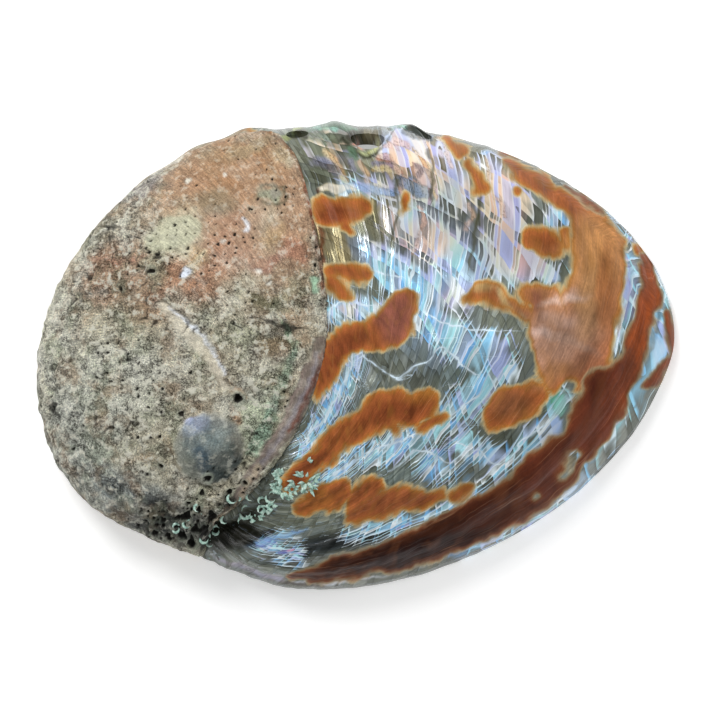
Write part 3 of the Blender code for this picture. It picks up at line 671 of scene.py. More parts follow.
# Strokes over the nacre: points of column, row and radius, then colour and strength. The pale cream, pink,
# blue and white strokes are the nacre's iridescent colour together with painted highlights.
NACRE_STROKES = [
    # Painted shade deep in the cleft.
    ([(210, 527, 6), (230, 532, 10), (254, 537, 9), (270, 534, 4)], "#25241a", 0.95),
    ([(310, 125, 6), (325, 123, 7), (342, 125, 6)], "#86a893", 0.9),
    ([(308, 119, 1.5), (335, 118, 1.5)], "#cfa48a", 0.8),
    ([(285, 136, 3), (292, 133, 3.5), (300, 127, 2)], "#b9c07a", 0.9),
    ([(266, 133, 3), (285, 142, 4), (298, 152, 5), (306, 172, 5)], "#8d8f80", 0.8),
    ([(345, 127, 3), (356, 132, 2.5)], "#7fb592", 0.8),
    ([(364, 134, 4), (374, 134, 4.5), (386, 131, 3)], "#a79c80", 0.9),
    ([(352, 146, 2), (362, 146, 3), (374, 143, 2)], "#ecccc2", 0.9),
    ([(358, 152, 2.5), (368, 153, 2.5), (377, 149, 2)], "#cfcf95", 0.8),
    # Painted shade along the recess below the second breathing hole.
    ([(343, 139, 2), (352, 150, 1.6), (366, 157, 1.6), (378, 152, 1.6), (388, 139, 1.6),
     (394, 131, 1)], "#45442f", 0.9),
    ([(392, 129, 3), (400, 124, 3)], "#7fb5a0", 0.9),
    ([(404, 131, 2), (415, 137, 2.5), (428, 139, 2), (434, 136, 2)], "#c6d6f2", 0.9),
    ([(386, 145, 3), (396, 142, 4), (408, 146, 3)], "#f4dcd6", 0.9),
    ([(380, 157, 3), (388, 158, 3), (398, 170, 2.5), (404, 180, 2)], "#efcbb8", 0.7),
    ([(326, 150, 3), (335, 160, 3.5), (342, 172, 3), (346, 184, 2.5)], "#e3cfa4", 0.8),
    ([(358, 158, 2), (364, 168, 2.5), (368, 182, 2.5)], "#efd9c4", 0.8),
    ([(351, 150, 3), (357, 158, 2.5)], "#86ad90", 0.7),
    ([(318, 160, 5), (330, 166, 5), (338, 172, 4)], "#a6a3ba", 0.55),
    ([(350, 160, 3), (353, 170, 3)], "#9d99ba", 0.55), ([(376, 163, 2.5), (392, 166, 2.5)], "#b3a4cc", 0.6),
    ([(416, 166, 3), (424, 170, 4), (418, 176, 3)], "#b7a3d6", 0.6),
    ([(374, 171, 3), (386, 168, 4), (393, 176, 3)], "#efe2c6", 0.75),
    ([(400, 180, 6), (415, 187, 7), (428, 192, 5)], "#9fb2ce", 0.7),
    # Painted highlight: a pale blue and white streak across the summit's upper flank.
    ([(346, 186, 2), (356, 186, 3), (376, 190, 4), (397, 193, 4)], "#c3d5f5", 0.9),
    ([(320, 188, 3), (338, 188, 4.5), (354, 188, 3)], "#fff9ec", 1.0),
    ([(322, 232, 9), (334, 246, 13), (342, 258, 9)], "#ab9b76", 0.95),
    ([(366, 214, 6), (380, 226, 7), (378, 240, 5)], "#a8a184", 0.7),
    # Painted shade inside the three breathing holes: this stroke, the next one and the fourth; the third is
    # the second hole's olive-brown back wall.
    ([(290, 134, 3), (297, 135, 5), (305, 135, 3)], "#4e4a38", 0.9),
    ([(354, 137, 7), (368, 139, 9), (380, 136, 6)], "#565140", 0.95),
    ([(366, 133, 3), (376, 133, 4), (384, 132, 3)], "#8f8468", 0.9),
    ([(406, 130, 4), (418, 133, 6), (430, 137, 4)], "#31403c", 0.95),
    ([(414, 148, 1.5), (422, 158, 2), (428, 172, 2.5), (432, 182, 2), (437, 198, 2)], "#f6e0c8", 0.9),
    ([(440, 138, 1.5), (448, 152, 2), (452, 166, 2.5)], "#f3dcc6", 0.85),
    ([(462, 148, 1.5), (470, 156, 2), (476, 168, 1.5)], "#f0dcc2", 0.85),
    ([(486, 160, 2), (490, 172, 2.5), (488, 184, 2)], "#f0dcc2", 0.8),
    ([(495, 196, 2), (504, 206, 2.5), (506, 216, 2)], "#f6dccb", 0.85),
    ([(468, 205, 2), (472, 216, 2), (466, 228, 2)], "#f2ddd2", 0.8),
    ([(418, 206, 2), (424, 222, 2), (420, 238, 2), (414, 252, 2)], "#f4dcd2", 0.8),
    ([(254, 541, 1), (262, 541, 3), (276, 538, 2), (298, 532, 1), (306, 528, 0.5)], "#a3cdf0", 0.9),
    ([(256, 544, 1), (266, 545, 1.5), (276, 543, 1)], "#95a4ee", 0.7),
    ([(278, 553, 1.5), (284, 552, 2.2), (291, 550, 1.5)], "#a29aec", 0.9),
    ([(288, 551, 1.2), (293, 549, 1.2)], "#f2a3c4", 1.0),
    ([(216, 559, 2), (240, 566, 2.5), (262, 574, 2.5), (282, 580, 2)], "#b3a9b8", 0.9),
    ([(236, 572, 3), (262, 581, 3), (290, 586, 3), (340, 588, 3)], "#6f5a58", 0.8),
    # Painted highlight along the margin's edge.
    ([(292, 583, 1), (330, 583, 1.2), (380, 576, 1), (440, 563, 1)], "#e3e4ea", 0.9),
    ([(317, 190, 1.5), (321, 235, 2), (325, 290, 2), (326, 335, 2.5), (322, 365, 2)], "#7d4325", 0.85),
    ([(646, 242, 2), (655, 252, 3), (662, 268, 2)], "#6f8078", 0.9),
    # Pale strokes along the worn rim, this one and the next three: bare nacre with painted highlights.
    ([(150, 176, 3), (170, 162, 4), (190, 151, 3)], "#dcd8cc", 0.9),
    ([(222, 130, 3), (243, 125, 4), (262, 126, 3)], "#e2ddcc", 0.9),
    ([(98, 215, 3), (114, 202, 4), (131, 191, 3)], "#d4d9cd", 0.9),
    ([(52, 270, 2), (66, 246, 3), (84, 228, 2)], "#b9d2c4", 0.8),
    ([(305, 122, 2), (320, 128, 2), (338, 130, 2)], "#9fc8b4", 0.8),
    ([(312, 136, 3), (324, 140, 4), (334, 136, 3)], "#96a08a", 0.8),
    ([(392, 128, 1), (399, 123, 1.5), (406, 126, 1)], "#a9d8c8", 0.9),
    ([(552, 396, 5), (560, 400, 7), (558, 410, 5)], "#9fd6c6", 0.8),
    ([(564, 456, 3), (574, 462, 5), (572, 472, 3)], "#b9a989", 0.9),
    ([(532, 157, 2), (545, 168, 3), (560, 180, 2)], "#7c8f84", 0.9),
    ([(560, 186, 2), (590, 206, 2.5), (615, 228, 3), (634, 250, 2)], "#d8d6c8", 0.9),
    ([(575, 200, 1), (605, 227, 1.5), (628, 254, 1.5)], "#efe6cc", 0.8),
    ([(655, 292, 1), (658, 320, 2), (650, 350, 2), (640, 372, 1.5)], "#d3dcdc", 0.9),
    ([(627, 262, 1), (630, 290, 1.5), (626, 320, 1.5)], "#c3b6e6", 0.8),
    ([(622, 300, 1), (618, 330, 1.5), (612, 350, 1)], "#e2cf8c", 0.8),
    ([(588, 256, 2), (588.5, 257, 2)], "#b8e0d0", 0.9),
    ([(602, 262, 1.5), (602.5, 263, 1.5)], "#b8e0d0", 0.9),
    ([(568, 285, 2), (575, 288, 1.5)], "#b8e0d0", 0.9), ([(573, 296, 1.5), (578, 297, 1)], "#a9d2c2", 0.9),
    ([(470, 545, 1), (500, 534, 1.2), (530, 518, 1.2), (560, 496, 1)], "#dfeaf2", 0.9),
    ([(590, 470, 1), (615, 438, 1.2), (636, 404, 1)], "#dfeaf2", 0.9),
    ([(546, 410, 1), (547, 398, 1), (556, 390, 1), (570, 390, 1), (575, 396, 1)], "#dfe9e4", 0.9),
]
STAIN_GROUND = "#98562d"
STAIN_WASHES = [
    (575, 300, 54, 54, 0, "#b07f59", 0.7), (555, 345, 46, 34, 0, "#ba9078", 0.9),
    (598, 252, 26, 44, 0, "#c78f58", 0.9), (396, 318, 20, 26, 0, "#8a5448", 0.85),
    (600, 370, 30, 30, 0, "#a4694a", 0.6), (342, 218, 18, 12, 0, "#9c5a30", 0.5),
    (352, 228, 8, 8, 0, "#8a4526", 0.5), (510, 405, 22, 16, 0, "#95603f", 0.7),
    (306, 470, 30, 10, 50, "#7c4022", 0.8), (342, 352, 14, 30, -40, "#7f4124", 0.8),
    (334, 213, 12, 9, 0, "#7d3f24", 0.8), (420, 398, 20, 8, 0, "#a0682c", 0.7),
    (318, 502, 14, 10, 0, "#a2652e", 0.7), (395, 412, 40, 12, 10, "#8a4526", 0.6),
    (560, 320, 18, 8, -10, "#c3a090", 0.6), (556, 235, 14, 9, 0, "#934f28", 0.5),
    (390, 500, 40, 14, 10, "#8d4f30", 0.6), (572, 295, 16, 5, 10, "#c6a598", 0.6),
    (500, 300, 30, 14, 0, "#9d6236", 0.5), (506, 300, 5, 16, 20, "#b09c70", 0.9),
    (523, 322, 5, 18, 25, "#ac8f68", 0.8), (485, 288, 12, 7, 0, "#a89262", 0.7),
    (536, 300, 9, 12, 0, "#80503e", 0.8), (515, 308, 6, 9, 0, "#8a5634", 0.7),
    (588, 300, 14, 40, -5, "#b58a5e", 0.6), (570, 262, 8, 30, 0, "#ad7a48", 0.7),
    (605, 285, 9, 40, 0, "#a8673a", 0.7), (552, 375, 26, 12, 20, "#a07048", 0.7),
    (545, 335, 20, 6, -25, "#cbaea2", 0.7), (566, 300, 24, 4, 12, "#d0b4a6", 0.7),
    (580, 345, 22, 5, -20, "#bfa08e", 0.4),
]
BAND_GROUND = "#43200f"
BAND_WASHES = [
    (650, 330, 30, 80, 0, "#99491f", 1.0), (620, 400, 34, 34, 0, "#7e3f25", 0.95),
    (590, 425, 34, 30, 40, "#773b27", 0.85), (550, 468, 44, 30, 40, "#663221", 0.85),
    (604, 372, 12, 40, -28, "#56271b", 0.8), (490, 510, 40, 20, 25, "#4d2416", 0.7),
    (600, 215, 60, 60, 0, "#8e5232", 1.0), (500, 150, 60, 30, 0, "#8f5f44", 1.0),
    (410, 556, 90, 14, 14, "#260d08", 0.95),
]


def in_picture(x, y):
    """Column and row of the picture's pixel over each plan point."""
    return PICTURE_MIDDLE[0] + x / PIXEL, PICTURE_MIDDLE[1] - y / PIXEL


def strayed(x, y, column, row, strays):
    """Picture places moved by mottles: each stray is its pixels, its size in mm, and its two seeds."""
    for pixels, size, column_seed, row_seed in strays:
        column = column + pixels * mottle(x, y, size, column_seed)
        row = row + pixels * mottle(x, y, size, row_seed)
    return column, row


def depth_in(strokes, column, row):
    """How far each place lies inside the nearest tapered stroke: its radius there less the distance."""
    best = np.full(column.shape, -60.0)
    for stroke in strokes:
        for (ax, ay, ar), (bx, by, br) in zip(stroke[:-1], stroke[1:]):
            dx, dy = bx - ax, by - ay
            t = np.clip(((column - ax) * dx + (row - ay) * dy) / (dx * dx + dy * dy), 0, 1)
            away = np.hypot(column - ax - t * dx, row - ay - t * dy)
            best = np.maximum(best, ar + t * (br - ar) - away)
    return best


def distance_to(lines, column, row):
    """Distance to the nearest of several curves, negative on its right, so that it passes through 0."""
    best = np.full(column.shape, 60.0)
    for line in lines:
        side, _ = beside(curve_through(line, 4), column, row)
        best = np.where(np.abs(side) < np.abs(best), side, best)
    return best


def linear(hex_colour):
    """Linear red, green and blue of an sRGB hex colour: ((c + 0.055) / 1.055) ^ 2.4, or c / 12.92 if dark."""
    c = np.array([int(hex_colour[i:i + 2], 16) for i in (1, 3, 5)]) / 255
    return np.where(c <= 0.04045, c / 12.92, ((c + 0.055) / 1.055) ** 2.4)


def inside_oval(column, row, oval):
    """1 in the middle of a turned oval, falling as exp(-d^4) past its edge."""
    cx, cy, long_half, short_half, turn = oval
    c, s = math.cos(math.radians(turn)), math.sin(math.radians(turn))
    dx, dy = column - cx, cy - row
    return np.exp(-(((dx * c + dy * s) / long_half) ** 2 + ((dy * c - dx * s) / short_half) ** 2) ** 2)


def washed(ground, washes, column, row):
    """Colour at each place: the ground, with each oval wash laid over what is there by its strength."""
    colour = np.broadcast_to(linear(ground), (*column.shape, 3)).copy()
    for *oval, wash, strength in washes:
        colour += (linear(wash) - colour) * (strength * inside_oval(column, row, oval))[..., None]
    return colour


def stroked(colour, strokes, column, row):
    """Lays coloured tapered strokes over a painted colour, each soft over two pixels at its edge."""
    for stroke, wash, strength in strokes:
        inside = smooth_step(*STROKE_EDGE, depth_in([stroke], column, row)) * strength
        colour += (linear(wash) - colour) * inside[..., None]
    return colour


def give(mesh, name, kind, values):
    """Stores a value for every point of a mesh under a name that materials read."""
    attribute = mesh.attributes.new(name, kind, "POINT")
    field = {"FLOAT": "value", "FLOAT_VECTOR": "vector", "FLOAT_COLOR": "color"}[kind]
    if kind == "FLOAT_COLOR":
        values = np.concatenate([values, np.ones((len(values), 1))], -1)
    attribute.data.foreach_set(field, np.ascontiguousarray(values, dtype=np.float32).ravel())


def points_of(mesh):
    """Points of a mesh as an array, in millimetres."""
    flat = np.empty(len(mesh.vertices) * 3, np.float32)
    mesh.vertices.foreach_get("co", flat)
    return flat.reshape(-1, 3).astype(float) / MM


def mark_growth(mesh):
    """Gives a mesh the growth pattern's own coordinates: across and along the growth lines, in about mm.

    On the steep flank under the widest girth the lines run level, as they do along a margin.
    """
    x, y, z = points_of(mesh).T
    age, along = growth(x, y)
    age = age + FLANK_LINES * np.maximum(TUCK_HEIGHT - z, 0.0)
    give(mesh, "weave", "FLOAT_VECTOR", np.stack([age, along, z], -1) * WEAVE_SCALE)


def mark_nacre(mesh):
    """Paints the wall: nacre washes and painted light, depth in rust and band, their colours, painted sheen,
    lines.
    """
    x, y, z = points_of(mesh).T
    column, row = in_picture(x, y)
    near_column, near_row = strayed(x, y, column, row, NACRE_SMALL_STRAYS)
    column, row = strayed(x, y, column, row, NACRE_STRAYS)
    slant_x, slant_y = SLANT[0] * x + SLANT[1] * y, SLANT[0] * y - SLANT[1] * x
    column, row = strayed(slant_x, slant_y, column, row, NACRE_SLANTED_STRAYS)
    bare = -depth_in(BARE_STROKES, column, row)
    side, _ = beside(lip_line, x, y)
    low = smooth_step(*FLANK_FADE, z)
    rust = np.minimum(depth_in(RUST_STROKES, column, row), bare) * PIXEL
    painted_rim = [stroke for stroke, paint, _ in NACRE_STROKES if paint in OLD_RIM_PAINTS]
    past_paint = -depth_in(painted_rim, column, row) * PIXEL
    old_rim = np.minimum(-side - OLD_RIM_BACK, np.maximum(past_paint, OLD_RIM_RISE * low - OLD_RIM_BACK))
    give(mesh, "rust", "FLOAT", np.maximum(rust, old_rim))
    give(mesh, "dark", "FLOAT", np.minimum(depth_in(DARK_STROKES, column, row), bare) * PIXEL)
    colour = washed(NACRE_GROUND, NACRE_WASHES, column, row)
    colour = stroked(colour, NACRE_STROKES, near_column, near_row)
    colour += (linear(FLANK_COLOUR) - colour) * low[..., None]
    give(mesh, "wash", "FLOAT_COLOR", colour)
    drawn = depth_in([stroke for stroke, _, _ in NACRE_STROKES], near_column, near_row)
    give(mesh, "drawn", "FLOAT", smooth_step(*DRAWN_EDGE, drawn))
    stain = washed(STAIN_GROUND, STAIN_WASHES, column, row)
    stain += (linear(OLD_RIM_COLOUR) - stain) * smooth_step(*OLD_RIM_EDGE, -side)[..., None]
    give(mesh, "stain", "FLOAT_COLOR", stain)
    give(mesh, "band", "FLOAT_COLOR", washed(BAND_GROUND, BAND_WASHES, column, row))
    # Painted sheen: where the nacre is painted bright, its iridescent colour together with painted
    # highlights.
    give(mesh, "painted_sheen", "FLOAT", smooth_step(*PAINTED_SHEEN_EDGE, depth_in(PAINTED_SHEEN_STROKES, column, row)))
    warm = np.zeros_like(x)
    for *oval, strength in WARM_WASHES:
        warm = np.maximum(warm, strength * inside_oval(column, row, oval))
    give(mesh, "warm", "FLOAT", warm)
    give(mesh, "gleam", "FLOAT", distance_to(GLEAM_LINES, near_column, near_row) * PIXEL)
    give(mesh, "crack", "FLOAT", distance_to(CRACK_LINES, near_column, near_row) * PIXEL)
    normal = np.empty(len(mesh.vertices) * 3, np.float32)
    mesh.vertex_normals.foreach_get("vector", normal)
    outwards = (normal.reshape(-1, 3) * (np.stack([x, y, z], -1) - LINING_MIDDLE)).sum(-1)
    # Near the breathing holes the lining gives way, so that their walls take the painted shade of the strokes
    # there.
    near_hole = np.max([HOLE_ROOM * radius - np.hypot(x - hx, y - hy) for hx, hy, radius in HOLES], axis=0)
    lining = smooth_step(*LINING_EDGE, outwards) * smooth_step(*HOLE_EDGE, near_hole)
    give(mesh, "lining", "FLOAT", lining)
    pixels, size = SCAR_LUMPS
    give(mesh, "scar", "FLOAT", inside_oval(column + pixels * lumps(x, y, size), row, MUSCLE_SCAR))


# Settings that several nodes share.
SCALED = {"operation": "MULTIPLY"}
SUMMED = {"operation": "MULTIPLY_ADD"}
MULTIPLIED = {"blend_type": "MULTIPLY"}
EASED = {"interpolation_type": "SMOOTHSTEP"}


def add(tree, kind, settings=(), inputs=(), stops=()):
    """Adds a node, sets its properties, and fills its inputs and its colour ramp's stops.

    An input is a value, a hex colour or a link. They come by name or number, or as a tuple in socket order.
    """
    made = tree.nodes.new("ShaderNode" + kind)
    for name, value in dict(settings).items():
        setattr(made, name, value)
    for socket, value in inputs.items() if isinstance(inputs, dict) else enumerate(inputs):
        if isinstance(value, bpy.types.NodeSocket):
            tree.links.new(value, made.inputs[socket])
        elif isinstance(value, str):
            made.inputs[socket].default_value = (*linear(value), 1.0)
        else:
            made.inputs[socket].default_value = value
    for number, (place, colour) in enumerate(stops):
        ramp = made.color_ramp.elements
        stop = ramp[number] if number < 2 else ramp.new(place)
        stop.position, stop.color = place, (*linear(colour), 1.0)
    return made.outputs


def new_material(name):
    """A material with an empty node tree but for its shader and output."""
    material = bpy.data.materials.new(name)
    material.use_nodes = True
    return material, material.node_tree, material.node_tree.nodes["Principled BSDF"]


def polished_nacre():
    """Polished nacre with rust stains.

    Nacre is stacked plates of aragonite under a polish: glossy and a little metallic, grey-olive between
    narrow bright lines of blue, white, pink or cream where the polish cut through its layers. These lines are
    painted sheen: the nacre's iridescent colour together with painted highlights, and each step of them ends
    in painted shade. The rust is horny outer layer, a dull brown that thins to amber and olive at its edge.
    """
    material, tree, shader = new_material("polished_nacre_with_rust")
    fields = {}
    for name in ("rust", "dark", "painted_sheen", "warm", "gleam", "crack", "drawn", "lining", "scar"):
        fields[name] = add(tree, "Attribute", {"attribute_name": name})["Fac"]
    for name in ("wash", "stain", "band"):
        fields[name] = add(tree, "Attribute", {"attribute_name": name})["Color"]
    weave = add(tree, "Attribute", {"attribute_name": "weave"})["Vector"]

    # The pattern's coordinates are about millimetres across and along the growth lines; they wander by 1 mm.
    wander = add(tree, "TexNoise", {}, {"Vector": weave, "Scale": 0.12, "Detail": 2.0})[1]
    flow = add(tree, "VectorMath", SUMMED, (wander, (3.5, 3.5, 0.0), weave))[0]
    noises = {}
    for name, stretch, detail in (
        ("layers", (0.22, 0.030, 0.1), 0.6),   # layers cut by the polish in long lines along the lip
        ("ribs", (0.035, 0.17, 0.1), 0.6),     # ribs across them, along the whorl
        ("streaks", (0.8, 0.04, 0.1), 1.0),    # lines about 1 mm wide and 20 mm long
        ("scratch", (2.6, 0.05, 0.1), 2.0),    # scratches 0.4 mm apart
        ("patch", (0.22, 0.22, 0.1), 1.0),     # patches 5 mm wide, in which lines shine or stay dull
        ("blotch", (0.26, 0.22, 0.3), 4.0),    # blotches 3 mm wide
        ("grain", (2.6, 2.2, 1.0), 3.0),       # specks 0.4 mm wide
    ):
        place = add(tree, "VectorMath", SCALED, (flow, stretch))[0]
        settings = {"Vector": place, "Scale": 1.0, "Detail": detail, "Roughness": 0.5}
        noises[name] = add(tree, "TexNoise", {}, settings)[0]

    # Terraces: each step of a layer or a rib has a painted highlight on its crest, falls off and ends in a
    # foot of painted shade.
    steps, crest_highlights, foot_shades = [], [], []
    ruled = add(tree, "SeparateXYZ", {}, (flow,))
    for name, levels, number, per_mm in (("layers", 5.6, 0, 0.62), ("ribs", 4.4, 1, 0.27)):
        level = add(tree, "Math", SCALED, (noises[name], levels))[0]
        level = add(tree, "Math", SUMMED, (ruled[number], per_mm, level))[0]
        steps.append(add(tree, "Math", {"operation": "FLOOR"}, (level,))[0])
        fall = add(tree, "Math", {"operation": "FRACT"}, (level,))[0]
        crest_highlights.append(add(tree, "MapRange", {}, (fall, 0.04, 0.36, 1.0, 0.0))[0])
        foot_shades.append(add(tree, "MapRange", {}, (fall, 0.74, 0.98, 1.0, 0.58))[0])

    # The blocks between the steps of both have each a tone and a hue of their own.
    block = add(tree, "Math", SUMMED, (steps[1], 17.0, steps[0]))[0]
    blocks = add(tree, "TexWhiteNoise", {"noise_dimensions": "1D"}, {"W": block})[1]
    parts = add(tree, "SeparateColor", {}, (blocks,))
    toss = parts[2]
    depth = add(tree, "Math", SUMMED, (noises["layers"], 1.0, noises["ribs"]))[0]

    # How brightly a spot gleams: the painted sheen there, plus the crests' painted highlights, streaks and
    # its block's own tone.
    gleams = add(tree, "Math", SUMMED, (fields["painted_sheen"], 0.46, -0.46))[0]
    lit = add(tree, "MapRange", {}, (fields["painted_sheen"], 0.0, 0.9, 0.14, 1.25))[0]
    across = add(tree, "MapRange", {}, {0: fields["warm"], 3: 0.45, 4: 1.0})[0]
    across = add(tree, "Math", SCALED, (lit, across))[0]
    along = add(tree, "MapRange", {}, {0: fields["warm"], 3: 1.0, 4: 0.5})[0]
    along = add(tree, "Math", SCALED, (lit, along))[0]
    whole = add(tree, "MapRange", {}, {0: fields["warm"], 3: 0.30, 4: 0.50})[0]
    for part, weight in (
        (noises["streaks"], 0.35), (noises["patch"], 0.34), (parts[0], whole),
        (crest_highlights[0], along), (crest_highlights[1], across),
    ):
        gleams = add(tree, "Math", SUMMED, (part, weight, gleams))[0]
    bright = add(tree, "MapRange", {}, (gleams, 0.25, 0.62, 0.0, 1.0))[0]

    tint = add(tree, "ValToRGB", {}, (toss,), [
        (0.0, "#4d5148"), (1.0, "#b6b8b6"), (0.3, "#6f7467"), (0.55, "#828a8c"), (0.8, "#929ea8"),
    ])[0]
    nacre = add(tree, "MixRGB", {"blend_type": "OVERLAY"}, (0.66, fields["wash"], tint))[0]
    # Painted shade at the foot of each terrace step.
    for foot in foot_shades:
        nacre = add(tree, "MixRGB", MULTIPLIED, (0.8, nacre, foot))[0]
    shade = add(tree, "MapRange", {}, (noises["scratch"], 0.3, 0.7, 0.84, 1.26))[0]
    nacre = add(tree, "MixRGB", MULTIPLIED, (0.8, nacre, shade))[0]
    # Colours of the painted sheen and highlights: pale blues where cool, creams and pinks where warm, whiter
    # on the crests.
    cool = add(tree, "ValToRGB", {}, (parts[1],), [
        (0.0, "#74b4ee"), (1.0, "#f0faff"), (0.3, "#9ad6f6"), (0.5, "#aee6ec"), (0.65, "#aebcf2"),
        (0.8, "#cdeefb"),
    ])[0]
    blush = add(tree, "ValToRGB", {}, (parts[1],), [
        (0.0, "#f0bba6"), (1.0, "#fdf6e4"), (0.3, "#f5d6b4"), (0.5, "#fbe9c8"), (0.75, "#b3b4ea"),
    ])[0]
    hue = add(tree, "MixRGB", {}, (fields["warm"], cool, blush))[0]
    white = add(tree, "Math", SCALED, (crest_highlights[0], 0.6))[0]
    hue = add(tree, "MixRGB", {}, (white, hue, "#f2f9fc"))[0]
    kept = add(tree, "MapRange", {}, {0: fields["drawn"], 3: 1.0, 4: 0.4})[0]
    bright = add(tree, "Math", SCALED, (bright, kept))[0]
    nacre = add(tree, "MixRGB", {}, (bright, nacre, hue))[0]

    specks = add(tree, "MapRange", {}, (noises["grain"], 0.52, 0.60, 0.0, 0.6))[0]
    specks = add(tree, "Math", SCALED, (specks, fields["drawn"]))[0]
    specks = add(tree, "Math", SCALED, (specks, fields["warm"]))[0]
    nacre = add(tree, "MixRGB", MULTIPLIED, (specks, nacre, "#8d8f80"))[0]

    # Drawn contour lines of painted highlight with a fainter painted highlight beside them, and a few healed
    # dark cracks.
    away = add(tree, "Math", {"operation": "ABSOLUTE"}, (fields["gleam"],))[0]
    shining = add(tree, "MapRange", {}, (noises["patch"], 0.36, 0.52, 0.3, 1.0))[0]
    for width, strength in ((0.9, 0.25), (0.34, 1.0)):
        line = add(tree, "MapRange", EASED, (away, width, 0.08, 0.0, strength))[0]
        line = add(tree, "Math", SCALED, (line, shining))[0]
        nacre = add(tree, "MixRGB", {}, (line, nacre, "#dceffb"))[0]
    line = add(tree, "Math", {"operation": "ABSOLUTE"}, (fields["crack"],))[0]
    line = add(tree, "MapRange", {}, (line, 0.8, 0.2, 0.0, 0.75))[0]
    nacre = add(tree, "MixRGB", {}, (line, nacre, "#55563f"))[0]

    # Rust and the dark band: their edges wander with the blotches and run out along the growth lines.
    fray = add(tree, "Math", SUMMED, (noises["blotch"], 3.0, -1.75))[0]
    fray = add(tree, "Math", SUMMED, (noises["streaks"], 0.4, fray))[0]
    mottled = add(tree, "MapRange", {}, (noises["blotch"], 0.3, 0.7, 0.58, 1.46))[0]
    speckled = add(tree, "MapRange", {}, (noises["grain"], 0.3, 0.7, 0.84, 1.16))[0]
    lined = add(tree, "MapRange", {}, (noises["scratch"], 0.3, 0.7, 0.84, 1.16))[0]
    scuffs = add(tree, "MapRange", {}, (noises["scratch"], 0.64, 0.74, 0.0, 0.35))[0]
    colour, covered = nacre, []
    for name, body, fringe, amber in (
        ("rust", "stain", "#b3a67e", "#a06c30"),
        ("dark", "band", "#9a8c6c", "#76462a"),
    ):
        inside = add(tree, "Math", {"operation": "ADD"}, (fields[name], fray))[0]
        place = add(tree, "MapRange", {}, (inside, -1.2, 0.9))[0]
        rim = add(tree, "ValToRGB", {}, (place,), [(0.25, fringe), (0.75, amber)])[0]
        deep = add(tree, "MapRange", EASED, (inside, -0.2, 1.5, 0.0, 1.0))[0]
        paint = add(tree, "MixRGB", {}, (deep, rim, fields[body]))[0]
        core = add(tree, "MapRange", EASED, (inside, 0.4, 4.0, 1.18, 0.84))[0]
        for tone in (core, mottled, speckled, lined):
            paint = add(tree, "MixRGB", MULTIPLIED, (0.85, paint, tone))[0]
        pale = add(tree, "MapRange", {}, (noises["patch"], 0.52, 0.72, 0.0, 0.35))[0]
        paint = add(tree, "MixRGB", {}, (pale, paint, amber))[0]
        paint = add(tree, "MixRGB", {}, (scuffs, paint, "#b98a66"))[0]
        cover = add(tree, "MapRange", EASED, (inside, -1.3, -0.1, 0.0, 1.0))[0]
        colour = add(tree, "MixRGB", {}, (cover, colour, paint))[0]
        covered.append(cover)
    # The inside: thick untouched nacre in broad soft bands of green, rose and silver.
    bands = add(tree, "Math", SUMMED, (noises["patch"], 0.6, noises["layers"]))[0]
    lining = add(tree, "ValToRGB", {}, (bands,), [
        (0.45, "#8fb3a4"), (1.0, "#cfc3d6"), (0.62, "#b9ccc4"), (0.72, "#d6c4cb"), (0.82, "#a9c9c6"),
        (0.9, "#d5d8d2"),
    ])[0]
    scar = add(tree, "MixRGB", MULTIPLIED, (fields["scar"], lining, "#9fb3a8"))[0]
    colour = add(tree, "MixRGB", {}, (fields["lining"], colour, scar))[0]
    tree.links.new(colour, shader.inputs["Base Color"])

    horny = add(tree, "Math", {"operation": "MAXIMUM"}, (covered[0], covered[1]))[0]
    metal = add(tree, "MapRange", {}, {0: horny, 3: 0.35, 4: 0.0})[0]
    tree.links.new(metal, shader.inputs["Metallic"])
    rough = add(tree, "MapRange", {}, {0: horny, 3: 0.22, 4: 0.36})[0]
    tree.links.new(rough, shader.inputs["Roughness"])
    shader.inputs["Specular IOR Level"].default_value = 0.08
    relief = add(tree, "Math", SUMMED, (depth, 2.0, noises["streaks"]))[0]
    relief = add(tree, "Math", SUMMED, (noises["scratch"], 0.5, relief))[0]
    bump = add(tree, "Bump", {}, {"Strength": 0.45, "Distance": 0.0005, "Height": relief})[0]
    tree.links.new(bump, shader.inputs["Normal"])
    return material


lip_line = curve_through(OLD_LIP)
shell = wall_of_the_shell()
open_breathing_holes(shell)
mark_growth(shell.data)
mark_nacre(shell.data)
shell.data.materials.clear()
shell.data.materials.append(polished_nacre())
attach(shell, "root")
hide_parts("shell")

